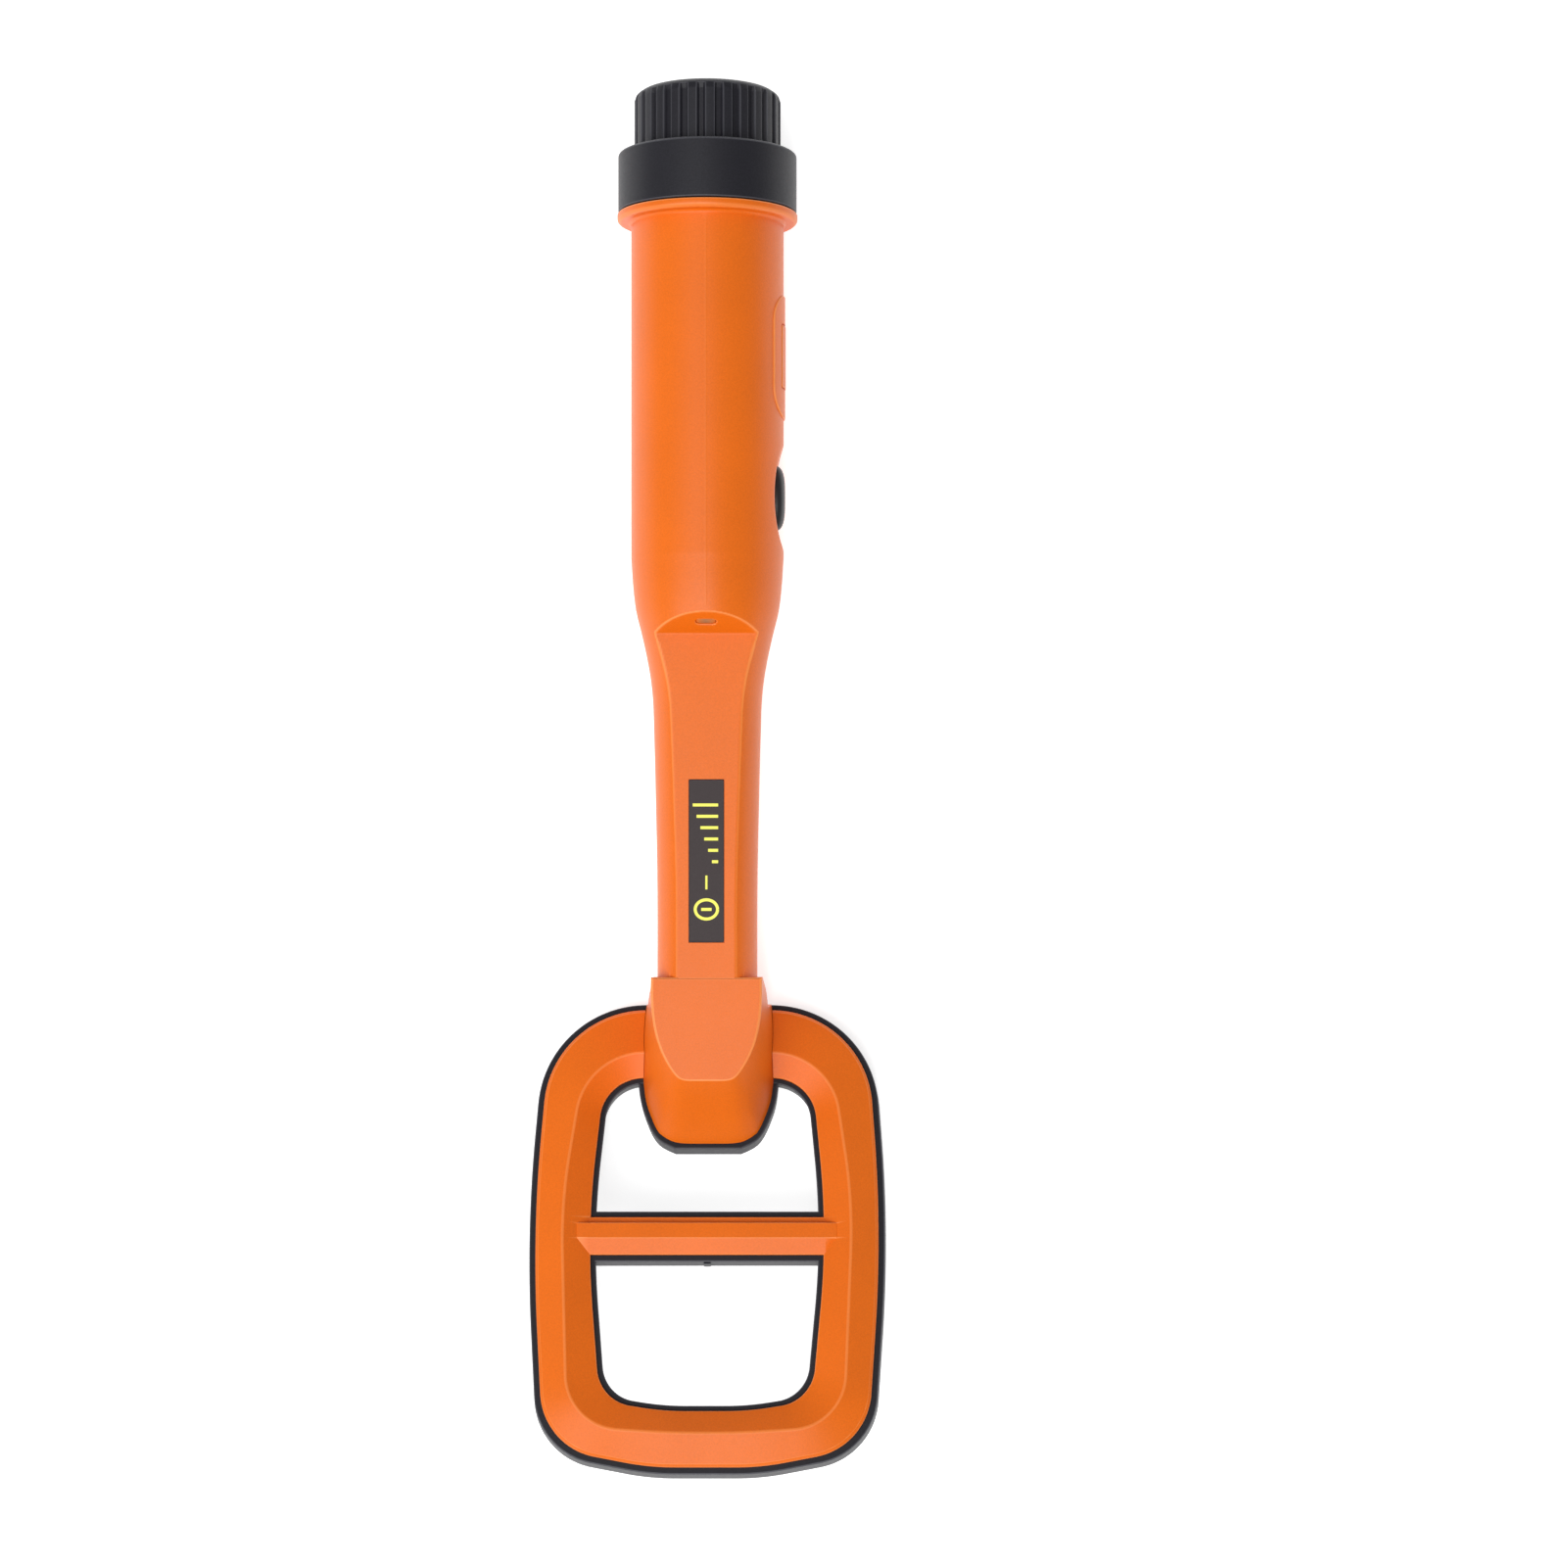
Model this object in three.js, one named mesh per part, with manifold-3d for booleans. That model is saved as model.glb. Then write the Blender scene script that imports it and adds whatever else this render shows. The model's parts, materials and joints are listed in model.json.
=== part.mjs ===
// A hand-held pulse-induction pinpointer probe: a round battery tube, a tapered neck with a flat
// front, and a racket-shaped search head that is bent up from the handle's line.
//
// Millimetres, +Z up. The probe lies on its back on z = 0, on the flange before the battery cap
// and on the head's heel. The handle's axis runs along Y, with the cap at +Y and the head at -Y. +X is the
// side with the power button. The origin is under the middle of the whole probe.
//
// The head has its own flat frame, tilted about X: u runs along X, v runs down the head from its
// heel to its tip, and h stands up from the plane in which the orange cover meets the black tray.

import * as THREE from "three";
import { mergeVertices } from "three/addons/utils/BufferGeometryUtils.js";
import Module from "manifold-3d";

const wasm = await Module();
wasm.setup();

// ---- driving dimensions: handle ----

const GAP = 0.3; // clearance between pieces that meet
const AXIS_Z = 23.75; // height of the handle's axis over the floor
const TUBE_RADIUS = 20.1;
const BORE_RADIUS = 17.3; // battery bay and electronics bay
const NECK_BORE_RADIUS = 8.5;
const FLANGE_RADIUS = 23.75;
const FLANGE_FROM = 146.1;
const FLANGE_TO = 148.5;
const SPIGOT_TO = 161.5; // open end of the tube, inside the cap
const SPIGOT_RADIUS = 19.5; // root of the cap's thread
const TAPER = [ // [y, radius] of the swept shape between the tube and the neck
  [-64, 13.2], [-30, 13.2], [-5, 13.65], [13, 14.1], [20, 14.35], [26, 14.95], [32, 16],
  [38, 17.35], [44, 18.8], [50, 19.55], [58, TUBE_RADIUS],
];

const FLAT_Z = 10.7; // height over the axis of the boss's front face
const FLAT_RISE = 0.002; // slope of the neck's flat, which climbs slowly towards the tube
const STEP_FOOT_Y = 37.8; // where the neck's flat meets the step
const STEP_SLOPE = 1.52; // rise over run of the step's facet

// ---- driving dimensions: boss that carries the head, and the head ----

const SHOULDER_Y = -51.8; // back end of the boss
const BOSS_COLLAR_RADIUS = 16.6;
const BOSS_NOSE_Y = -78.6; // lower edge of the boss's front face

const HEAD_TILT = THREE.MathUtils.degToRad(18);
const HEEL_Y = -61;
const TRAY_HEIGHT = 8;
const TRAY_FLARE = 0.6; // how far the tray's outer wall leans out towards its foot
const FOOT_CHAMFER = 0.8;
const HEEL_Z = TRAY_HEIGHT * Math.cos(HEAD_TILT)
  - (FOOT_CHAMFER - TRAY_FLARE) * Math.sin(HEAD_TILT); // lip plane's height over the heel
const LIP_WIDTH = 1.7; // black rim left showing round the cover
const INNER_LIP = 1.5; // the same inside the loop's window
const INNER_DRAFT = 0.8; // how much the window opens out from the lip to the foot
const HEEL_BAR_HEIGHT = 0.6; // wear bar across the heel's foot, on which the head rests
const HEEL_BAR_HALF = 16;
const HEEL_BAR_WIDTH = 2;
const HEEL_BAR_TOP = 1.6; // buried in the foot
const COVER_WALL = 1.6;
const EDGE_HEIGHT = 1.3; // cover's outer edge over the lip plane
const RIDGE_HEIGHT = 4.6;

// Corners [u, v, fillet radius] of one half of each closed outline, from the heel to the tip.
const RIM = [[43.6, 0, 28.5], [47.6, 61.4, 365], [43.3, 117.9, 29.2], [14.4, 123.3, 70]];
const RIDGE = [[32.4, 14.1, 18], [38.2, 54, 140], [35.5, 111.7, 21.7], [8.6, 113.3, 200]];
const WINDOW = [[27.7, 20.2, 11.5], [31.6, 61.4, 300], [27.4, 104.9, 12.6], [10.9, 107.5, 75]];
const BAR_FROM = 57.5; // crossbar of the cover, along v
const BAR_TO = 67.3;

// ---- driving dimensions: button, label, lamp ----

const BUTTON_Y = 73.8;
const BUTTON_HALF_LENGTH = 8.5;
const BUTTON_HALF_WIDTH = 5;
const BUTTON_TOP_X = 20.5;
const PAD_Y = 110.6; // raised pad above the button
const PAD_HALF_LENGTH = 16.1;
const PAD_HALF_WIDTH = 10.2;
const PAD_CORNER = 7.5;
const PAD_HEIGHT = 0.4;
const PANEL_LENGTH = 16.3; // plain panel that stands proud of the pad
const PANEL_WIDTH = 11.6;
const PANEL_HEIGHT = 0.55;
const DISH_DEPTH = 2.5; // scooped hollow round the button
const DISH_SEMI = [6, 16.8, 40];
const LABEL_Y = -21.5;
const LABEL_LENGTH = 42.3;
const LABEL_WIDTH = 9.1;
const LABEL_DEPTH = 0.7;
const LAMP_Y = 40.4;
const LAMP_LENGTH = 5.1;
const LAMP_WIDTH = 2;

// ---- driving dimensions: battery cap ----

const CAP_FROM = FLANGE_TO + GAP;
const COLLAR_RADIUS = 23.5; // a little under the flange, so that the cap turns clear of the floor
const COLLAR_TO = 164.2;
const CAP_TO = 180.4;
const KNOB_RADIUS = 19.3;
const CROWN_HEIGHT = 2.8; // chamfered top of the knob
const CROWN_RADIUS = 17.3;
const KNOB_RIBS = 26;
const RIB_DEPTH = 0.9;
const CAP_BORE_RADIUS = 21.2;
const CAP_WALL = 2.8;
const THREAD_PITCH = 3;
const THREAD_HEIGHT = 1.2;
const THREAD_FROM = 152;
const THREAD_TURNS = 2.5;

// ---- driving dimensions: inside ----

const BULKHEAD_Y = 88.5;
const BOARD_Z = AXIS_Z - 3; // upper face of the main board
const BOARD_THICKNESS = 1.6;
const CELL_RADIUS = 7.05; // AA size
const CELL_LENGTH = 50.5;
const CELL_CIRCLE = 8.6; // distance of a cell's axis from the handle's axis
const CARRIER_FROM = 94.3;
const CARRIER_TO = 154.2;
const CARRIER_RADIUS = 16.6;
const CARRIER_PLATE = 2;
const CELL_FROM = CARRIER_FROM + CARRIER_PLATE + 2.7;

const ROUND_STEPS = 40; // sides of a large round shape
const SMALL_STEPS = 16;
const ARC_STEPS = 4; // steps of one filleted corner

// ---- materials ----

const plastic = (color, roughness) =>
  new THREE.MeshStandardMaterial({ color, roughness, metalness: 0 });
const metal = (color, roughness) =>
  new THREE.MeshStandardMaterial({ color, roughness, metalness: 1 });

const ORANGE = plastic(0xf27a2e, 0.5);
const BLACK = plastic(0x2d2c31, 0.55);
const RUBBER = plastic(0x232226, 0.8);
const LABEL = plastic(0x453b39, 0.6);
const SMOKED = plastic(0x5a3a24, 0.15);
const CLEAR_LAMP = plastic(0xf4f4ee, 0.2);
const BOARD_GREEN = plastic(0x1f5a36, 0.5);
const CHIP_BLACK = plastic(0x17171a, 0.6);
const CAPACITOR_BLUE = plastic(0x24345e, 0.4);
const CONNECTOR_WHITE = plastic(0xe8e4d8, 0.5);
const CELL_SLEEVE = plastic(0x8f9aa3, 0.35);
const COPPER = metal(0xb06a3b, 0.4);
const STEEL = metal(0xb9bcc0, 0.35);
const BRASS = metal(0xc9a34e, 0.35);

// ---- solids ----

function signedVolume(position, index) {
  const corner = (k) => new THREE.Vector3().fromBufferAttribute(position, index[k]);
  let six = 0;
  for (let k = 0; k < index.length; k += 3) {
    six += corner(k).dot(corner(k + 1).cross(corner(k + 2)));
  }
  return six / 6;
}

// A closed geometry as a solid with its faces pointing out.
function solidOf(geometry) {
  const bare = new THREE.BufferGeometry();
  bare.setAttribute("position", geometry.getAttribute("position").clone());
  bare.setIndex(geometry.index);
  const merged = mergeVertices(bare, 1e-4);
  const all = merged.index.array;
  const kept = [];
  for (let k = 0; k < all.length; k += 3) {
    const [a, b, c] = [all[k], all[k + 1], all[k + 2]];
    if (a !== b && b !== c && c !== a) kept.push(a, b, c);
  }
  const position = merged.getAttribute("position");
  if (signedVolume(position, kept) < 0) kept.reverse();
  const mesh = new wasm.Mesh({
    numProp: 3,
    vertProperties: new Float32Array(position.array),
    triVerts: new Uint32Array(kept),
  });
  return new wasm.Manifold(mesh);
}

function geometryOf(solid) {
  const mesh = solid.getMesh();
  const geometry = new THREE.BufferGeometry();
  geometry.setAttribute("position", new THREE.BufferAttribute(mesh.vertProperties, 3));
  geometry.setIndex(new THREE.BufferAttribute(mesh.triVerts, 1));
  geometry.computeVertexNormals();
  return geometry;
}

const join = (first, ...others) => others.reduce((whole, piece) => whole.add(piece), first);
const cut = (first, ...tools) => tools.reduce((rest, tool) => rest.subtract(tool), first);

// A skin through sections of equal point counts. It closes on itself, or gets two flat ends.
function loft(sections, closed = false) {
  const count = sections[0].length;
  const points = sections.flat();
  const index = [];
  const last = closed ? sections.length : sections.length - 1;
  for (let s = 0; s < last; s++) {
    const here = s * count;
    const next = ((s + 1) % sections.length) * count;
    for (let k = 0; k < count; k++) {
      const after = (k + 1) % count;
      index.push(here + k, next + k, next + after, here + k, next + after, here + after);
    }
  }
  if (!closed) {
    for (const [start, turned] of [[0, false], [(sections.length - 1) * count, true]]) {
      const centre = new THREE.Vector3();
      for (let k = 0; k < count; k++) centre.addScaledVector(points[start + k], 1 / count);
      points.push(centre);
      for (let k = 0; k < count; k++) {
        const pair = [start + k, start + ((k + 1) % count)];
        if (turned) pair.reverse();
        index.push(points.length - 1, ...pair);
      }
    }
  }
  const geometry = new THREE.BufferGeometry().setFromPoints(points);
  geometry.setIndex(index);
  return solidOf(geometry);
}

// A solid turned about a line parallel to Y, from [radius, y] points that start and end on it.
// One of its flat sides faces down, so that it lies still.
function turned(profile, x = 0, z = AXIS_Z, steps = ROUND_STEPS) {
  const points = profile.map(([radius, y]) => new THREE.Vector2(radius, y));
  const phase = Math.PI / steps;
  return solidOf(new THREE.LatheGeometry(points, steps, phase).translate(x, 0, z));
}

const rod = (radius, from, to, x = 0, z = AXIS_Z, steps = SMALL_STEPS) =>
  turned([[0, from], [radius, from], [radius, to], [0, to]], x, z, steps);

// A closed ring turned about the handle's axis, from a profile that doesn't reach it.
function ring(profile, steps = ROUND_STEPS) {
  return turned([...profile, profile[0]], 0, AXIS_Z, steps);
}

function box(size, centre) {
  return solidOf(new THREE.BoxGeometry(...size).translate(...centre));
}

// A [y, z] outline drawn through from x = -half to x = half.
function extrudedAcross(outline, half) {
  const shape = new THREE.Shape(outline.map(([y, z]) => new THREE.Vector2(y, z)));
  const geometry = new THREE.ExtrudeGeometry(shape, { depth: 2 * half, bevelEnabled: false });
  const toAcross = new THREE.Matrix4().makeBasis(
    new THREE.Vector3(0, 1, 0), new THREE.Vector3(0, 0, 1), new THREE.Vector3(1, 0, 0));
  return solidOf(geometry.applyMatrix4(toAcross).translate(-half, 0, 0));
}

// A ridge or wire that climbs along Y as it turns. section(grow) gives [radius, y] points.
function helix({ pitch, from, turns, section, perTurn, x = 0, z = AXIS_Z, taper = () => 1 }) {
  const steps = Math.round(turns * perTurn);
  const sections = [];
  for (let s = 0; s <= steps; s++) {
    const angle = (2 * Math.PI * s) / perTurn;
    const y = from + (pitch * s) / perTurn;
    sections.push(section(taper(s / steps)).map(([radius, dy]) =>
      new THREE.Vector3(x + radius * Math.sin(angle), y + dy, z + radius * Math.cos(angle))));
  }
  return loft(sections);
}

const wireSection = (coilRadius, wireRadius) => () =>
  [0, 1, 2, 3, 4].map((k) => [
    coilRadius + wireRadius * Math.cos((2 * Math.PI * k) / 5),
    wireRadius * Math.sin((2 * Math.PI * k) / 5),
  ]);

// ---- outlines on the head's plane ----

function onHead(u, v, h) {
  return new THREE.Vector3(
    u,
    HEEL_Y - v * Math.cos(HEAD_TILT) + h * Math.sin(HEAD_TILT),
    HEEL_Z + v * Math.sin(HEAD_TILT) + h * Math.cos(HEAD_TILT),
  );
}

const bothHalves = (half) => [...half, ...half.map(([u, v, r]) => [-u, v, r]).reverse()];

// The same closed outline, moved in by a distance, or out by a negative one.
function inset(corners, distance) {
  const count = corners.length;
  return corners.map(([u, v, radius], i) => {
    const [pu, pv] = corners[(i + count - 1) % count];
    const [nu, nv] = corners[(i + 1) % count];
    const before = new THREE.Vector2(u - pu, v - pv).normalize();
    const after = new THREE.Vector2(nu - u, nv - v).normalize();
    const inward = new THREE.Vector2(-before.y - after.y, before.x + after.x);
    const reach = distance / (1 + before.dot(after));
    return [u + inward.x * reach, v + inward.y * reach, Math.max(radius - distance, 0.4)];
  });
}

// The closed outline's points, with each corner rounded by its fillet radius.
function rounded(corners) {
  const count = corners.length;
  return corners.flatMap(([u, v, radius], i) => {
    const corner = new THREE.Vector2(u, v);
    const toBefore = new THREE.Vector2(...corners[(i + count - 1) % count]).sub(corner).normalize();
    const toAfter = new THREE.Vector2(...corners[(i + 1) % count]).sub(corner).normalize();
    const halfAngle = Math.acos(toBefore.dot(toAfter)) / 2;
    const bisector = toBefore.clone().add(toAfter).normalize();
    const centre = corner.clone().addScaledVector(bisector, radius / Math.sin(halfAngle));
    const tangent = radius / Math.tan(halfAngle);
    const first = corner.clone().addScaledVector(toBefore, tangent).sub(centre);
    const turn = Math.PI - 2 * halfAngle;
    const points = [];
    for (let k = 0; k <= ARC_STEPS; k++) {
      const arm = first.clone().rotateAround(new THREE.Vector2(), (turn * k) / ARC_STEPS);
      points.push(centre.clone().add(arm));
    }
    return points;
  });
}

const atHeight = (corners, h) => rounded(corners).map((p) => onHead(p.x, p.y, h));

// A straight-sided block on the head's plane.
function headBlock(u, vFrom, vTo, low, high) {
  const corners = [[u, vFrom], [u, vTo], [-u, vTo], [-u, vFrom]];
  const section = (h) => corners.map(([a, b]) => onHead(a, b, h));
  return loft([section(low), section(high)]);
}

const RIM_OUTLINE = bothHalves(RIM);
const RIDGE_OUTLINE = bothHalves(RIDGE);
const WINDOW_OUTLINE = bothHalves(WINDOW);

// ---- boss: from the shield-shaped front face down to a tongue on the head's plane ----

const BOSS_STEPS = 8;

// skirt carries the tongue's outline straight on below the lip plane, to cut its neighbours with.
function bossLoft(grow = 0, skirt = 0) {
  const front = new THREE.CubicBezierCurve(
    new THREE.Vector2(14.45 + grow, SHOULDER_Y + grow),
    new THREE.Vector2(14.6 + grow, -62),
    new THREE.Vector2(13.8 + grow, -70.5 - 0.3 * grow),
    new THREE.Vector2(6.9 + grow, BOSS_NOSE_Y - grow),
  );
  const base = new THREE.SplineCurve([
    new THREE.Vector2(14.5 + grow, -7.8 - grow),
    new THREE.Vector2(16.6 + grow, -1.2),
    new THREE.Vector2(17.7 + grow, 12),
    new THREE.Vector2(17 + grow, 24),
    new THREE.Vector2(15.2 + grow, 30.5 + 0.4 * grow),
    new THREE.Vector2(12.6 + 0.8 * grow, 35.4 + 0.7 * grow),
    new THREE.Vector2(8.7 + 0.4 * grow, 37.8 + grow),
  ]);
  const upper = [];
  const lower = [];
  const foot = [];
  for (let k = 0; k <= BOSS_STEPS; k++) {
    const f = front.getPoint(k / BOSS_STEPS);
    const b = base.getPointAt(k / BOSS_STEPS);
    upper.push(new THREE.Vector3(f.x, f.y, AXIS_Z + FLAT_Z));
    lower.push(onHead(b.x, b.y, GAP));
    foot.push(onHead(b.x, b.y, GAP - skirt));
  }
  const mirrored = (side) => side.map((p) => new THREE.Vector3(-p.x, p.y, p.z)).reverse();
  const sections = skirt > 0 ? [foot, lower, upper] : [lower, upper];
  return loft(sections.map((side) => [...side, ...mirrored(side)]));
}

// The back of the boss overhangs the heel as a round collar; this is the space under it.
function underBoss() {
  const from = HEEL_Y + GAP;
  const to = SHOULDER_Y + 2;
  const space = box([60, to - from, 60], [0, (from + to) / 2, AXIS_Z - 31]);
  return space.subtract(rod(BOSS_COLLAR_RADIUS, from - 1, to + 1, 0, AXIS_Z, ROUND_STEPS));
}

// ---- handle housing ----

function taperPoints(steps) {
  const curve = new THREE.SplineCurve(TAPER.map(([y, r]) => new THREE.Vector2(r, y)));
  return curve.getPoints(steps).map((p) => [p.x, p.y]);
}

const flatHeight = (y) => AXIS_Z + FLAT_Z + FLAT_RISE * Math.max(y - SHOULDER_Y, 0);

// The space in front of the neck's flat and the step's facet.
function frontCutter() {
  const stepTopY = STEP_FOOT_Y + 7;
  const stepTopZ = flatHeight(STEP_FOOT_Y) + 7 * STEP_SLOPE;
  return extrudedAcross([
    [BOSS_NOSE_Y - 30, flatHeight(SHOULDER_Y)],
    [SHOULDER_Y, flatHeight(SHOULDER_Y)],
    [STEP_FOOT_Y, flatHeight(STEP_FOOT_Y)],
    [stepTopY, stepTopZ],
    [stepTopY, AXIS_Z + 40],
    [BOSS_NOSE_Y - 30, AXIS_Z + 40],
  ], 30);
}

// A pill-shaped plug that stands square on the step's facet, through the wall.
function lampPlug(grow, outer, inner) {
  const half = LAMP_LENGTH / 2 - LAMP_WIDTH / 2;
  const radius = LAMP_WIDTH / 2 + grow;
  const shape = new THREE.Shape();
  shape.absarc(half, 0, radius, -Math.PI / 2, Math.PI / 2, false);
  shape.absarc(-half, 0, radius, Math.PI / 2, (3 * Math.PI) / 2, false);
  const settings = { depth: inner + outer, bevelEnabled: false, curveSegments: 6 };
  const geometry = new THREE.ExtrudeGeometry(shape, settings).translate(0, 0, -inner);
  const lean = Math.atan(STEP_SLOPE);
  const z = flatHeight(STEP_FOOT_Y) + (LAMP_Y - STEP_FOOT_Y) * STEP_SLOPE;
  return solidOf(geometry.rotateX(lean).translate(0, LAMP_Y, z));
}

// An oval with its long side along Y, from x = from to x = to.
function oval(halfLength, halfWidth, from, to, y = BUTTON_Y) {
  const geometry = new THREE.CylinderGeometry(1, 1, to - from, 28).rotateZ(Math.PI / 2);
  return solidOf(geometry.scale(1, halfLength, halfWidth).translate((from + to) / 2, y, AXIS_Z));
}

// The scooped hollow round the power button.
function buttonDish() {
  const ball = new THREE.SphereGeometry(1, 32, 18).scale(...DISH_SEMI);
  return solidOf(ball.translate(TUBE_RADIUS - DISH_DEPTH + DISH_SEMI[0], BUTTON_Y, AXIS_Z));
}

// The raised pad on the tube's side, with a plain panel on it. Both follow the tube's curve.
function sidePad() {
  const skin = (height) =>
    rod(TUBE_RADIUS + height, PAD_Y - 20, PAD_Y + 20, 0, AXIS_Z, 2 * ROUND_STEPS);
  const corners = [[1, 1], [-1, 1], [-1, -1], [1, -1]].map(([y, z]) =>
    [y * PAD_HALF_LENGTH, z * PAD_HALF_WIDTH, PAD_CORNER]);
  const section = (x) => rounded(corners).map((p) =>
    new THREE.Vector3(x, PAD_Y + p.x, AXIS_Z + p.y));
  const pad = skin(PAD_HEIGHT).intersect(loft([section(5), section(30)]));
  const outline = box([20, PANEL_LENGTH, PANEL_WIDTH], [20, PAD_Y, AXIS_Z]);
  const panel = skin(PANEL_HEIGHT).intersect(outline);
  const inside = rod(TUBE_RADIUS - 1, PAD_Y - 21, PAD_Y + 21, 0, AXIS_Z, ROUND_STEPS);
  return cut(join(pad, panel), inside);
}

function threadSection(radius, height) {
  return (grow) => [
    [radius, -0.75], [radius + height * grow, -0.3], [radius + height * grow, 0.3], [radius, 0.75],
  ];
}

const runOut = (t) => Math.max(0.15, Math.min(1, 8 * t, 8 * (1 - t)));

function handleHousing() {
  const outer = turned([
    [0, -64],
    ...taperPoints(20),
    [TUBE_RADIUS, FLANGE_FROM],
    [FLANGE_RADIUS - 1.2, FLANGE_FROM],
    [FLANGE_RADIUS - 0.35, FLANGE_FROM + 0.35],
    [FLANGE_RADIUS, FLANGE_FROM + 1.2],
    [FLANGE_RADIUS, FLANGE_TO],
    [SPIGOT_RADIUS, FLANGE_TO],
    [SPIGOT_RADIUS, SPIGOT_TO - 0.6],
    [SPIGOT_RADIUS - 0.6, SPIGOT_TO],
    [0, SPIGOT_TO],
  ]);
  const thread = helix({
    pitch: THREAD_PITCH,
    from: THREAD_FROM,
    turns: THREAD_TURNS,
    perTurn: ROUND_STEPS / 2,
    section: threadSection(SPIGOT_RADIUS - 0.2, THREAD_HEIGHT + 0.2),
    taper: runOut,
  });
  const bore = turned([
    [0, -78], [NECK_BORE_RADIUS, -78], [NECK_BORE_RADIUS, 34], [9.8, 40], [14.5, 47],
    [BORE_RADIUS, 54], [BORE_RADIUS, SPIGOT_TO + 1], [0, SPIGOT_TO + 1],
  ]);
  const labelSeat = extrudedAcross([
    [LABEL_Y - LABEL_LENGTH / 2 - GAP, flatHeight(LABEL_Y - LABEL_LENGTH / 2) - LABEL_DEPTH],
    [LABEL_Y + LABEL_LENGTH / 2 + GAP, flatHeight(LABEL_Y + LABEL_LENGTH / 2) - LABEL_DEPTH],
    [LABEL_Y + LABEL_LENGTH / 2 + GAP, AXIS_Z + 20],
    [LABEL_Y - LABEL_LENGTH / 2 - GAP, AXIS_Z + 20],
  ], LABEL_WIDTH / 2 + GAP);
  const leadPassage = headBlock(6, 6, 19, -1, 9);
  const buttonHole = oval(BUTTON_HALF_LENGTH + 0.4, BUTTON_HALF_WIDTH + 0.4, 8, 30);
  const body = join(outer, thread, sidePad(), cut(bossLoft(), underBoss()));
  return cut(body, frontCutter(), bore, leadPassage, labelSeat, lampPlug(GAP, 2, 9),
    buttonDish(), buttonHole);
}

// ---- head ----

function headCover() {
  const outerEdge = inset(RIM_OUTLINE, LIP_WIDTH);
  const shell = loft([
    atHeight(outerEdge, GAP),
    atHeight(outerEdge, EDGE_HEIGHT),
    atHeight(RIDGE_OUTLINE, RIDGE_HEIGHT),
    atHeight(WINDOW_OUTLINE, EDGE_HEIGHT - 0.2),
    atHeight(WINDOW_OUTLINE, GAP),
    atHeight(inset(WINDOW_OUTLINE, -COVER_WALL), GAP),
    atHeight(RIDGE_OUTLINE, RIDGE_HEIGHT - COVER_WALL),
    atHeight(inset(outerEdge, COVER_WALL), GAP),
  ], true);
  const barTop = 3;
  const barSection = (u, lowerEdge) => [
    [BAR_FROM, GAP], [BAR_FROM, EDGE_HEIGHT], [BAR_FROM + 1.4, EDGE_HEIGHT],
    [BAR_FROM + 1.6, barTop], [BAR_FROM + 5.7, barTop], [lowerEdge, EDGE_HEIGHT - 0.2],
    [lowerEdge, GAP],
  ].map(([v, h]) => onHead(u, v, h));
  const bar = loft([
    barSection(-34, BAR_TO - 2), barSection(-31, BAR_TO),
    barSection(31, BAR_TO), barSection(34, BAR_TO - 2),
  ]);
  return cut(join(shell, bar), bossLoft(GAP, 2));
}

function headTray() {
  const foot = inset(RIM_OUTLINE, -TRAY_FLARE);
  const block = loft([
    atHeight(inset(foot, FOOT_CHAMFER), -TRAY_HEIGHT),
    atHeight(foot, FOOT_CHAMFER - TRAY_HEIGHT),
    atHeight(RIM_OUTLINE, 0),
  ]);
  const past = 0.4; // how far the opening's tool stands out of the block
  const opening = loft([
    atHeight(inset(WINDOW_OUTLINE, INNER_LIP - INNER_DRAFT), -TRAY_HEIGHT - past),
    atHeight(inset(WINDOW_OUTLINE, INNER_LIP), past),
  ]);
  const bar = headBlock(40, BAR_FROM - LIP_WIDTH, BAR_TO + LIP_WIDTH, -TRAY_HEIGHT - 2, 2);
  const tongue = bossLoft(1.4, TRAY_HEIGHT + 2);
  const channelFloor = 2 - TRAY_HEIGHT;
  const channel = loft([
    atHeight(inset(RIM_OUTLINE, LIP_WIDTH + 2), 1),
    atHeight(inset(RIM_OUTLINE, LIP_WIDTH + 2), channelFloor),
    atHeight(inset(WINDOW_OUTLINE, -1.2), channelFloor),
    atHeight(inset(WINDOW_OUTLINE, -1.2), 1),
  ], true);
  const depth = 20;
  const floorSlab = box([200, 100, depth], [0, HEEL_Y - 30, HEEL_BAR_HEIGHT - depth / 2]);
  const heelFoot = onHead(0, 0, -TRAY_HEIGHT).y - 0.1;
  const heelBar = box([2 * HEEL_BAR_HALF, HEEL_BAR_WIDTH, HEEL_BAR_TOP],
    [0, heelFoot - HEEL_BAR_WIDTH / 2, HEEL_BAR_TOP / 2]);
  return join(cut(block, cut(opening, bar, tongue), channel, floorSlab), heelBar);
}

const COIL_WIDTH = 3.4;

function coilWinding() {
  const outer = inset(RIDGE_OUTLINE, -COIL_WIDTH / 2);
  const inner = inset(RIDGE_OUTLINE, COIL_WIDTH / 2);
  return loft([
    atHeight(outer, -5.6), atHeight(outer, -2.2), atHeight(inner, -2.2), atHeight(inner, -5.6),
  ], true);
}

function coilFormer() {
  const outer = inset(RIDGE_OUTLINE, -COIL_WIDTH);
  const inner = inset(RIDGE_OUTLINE, COIL_WIDTH * 0.9);
  const plate = loft([
    atHeight(outer, -1.8), atHeight(outer, -0.5), atHeight(inner, -0.5), atHeight(inner, -1.8),
  ], true);
  return plate.subtract(headBlock(2.4, 11, 22, -3, 1));
}

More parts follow.
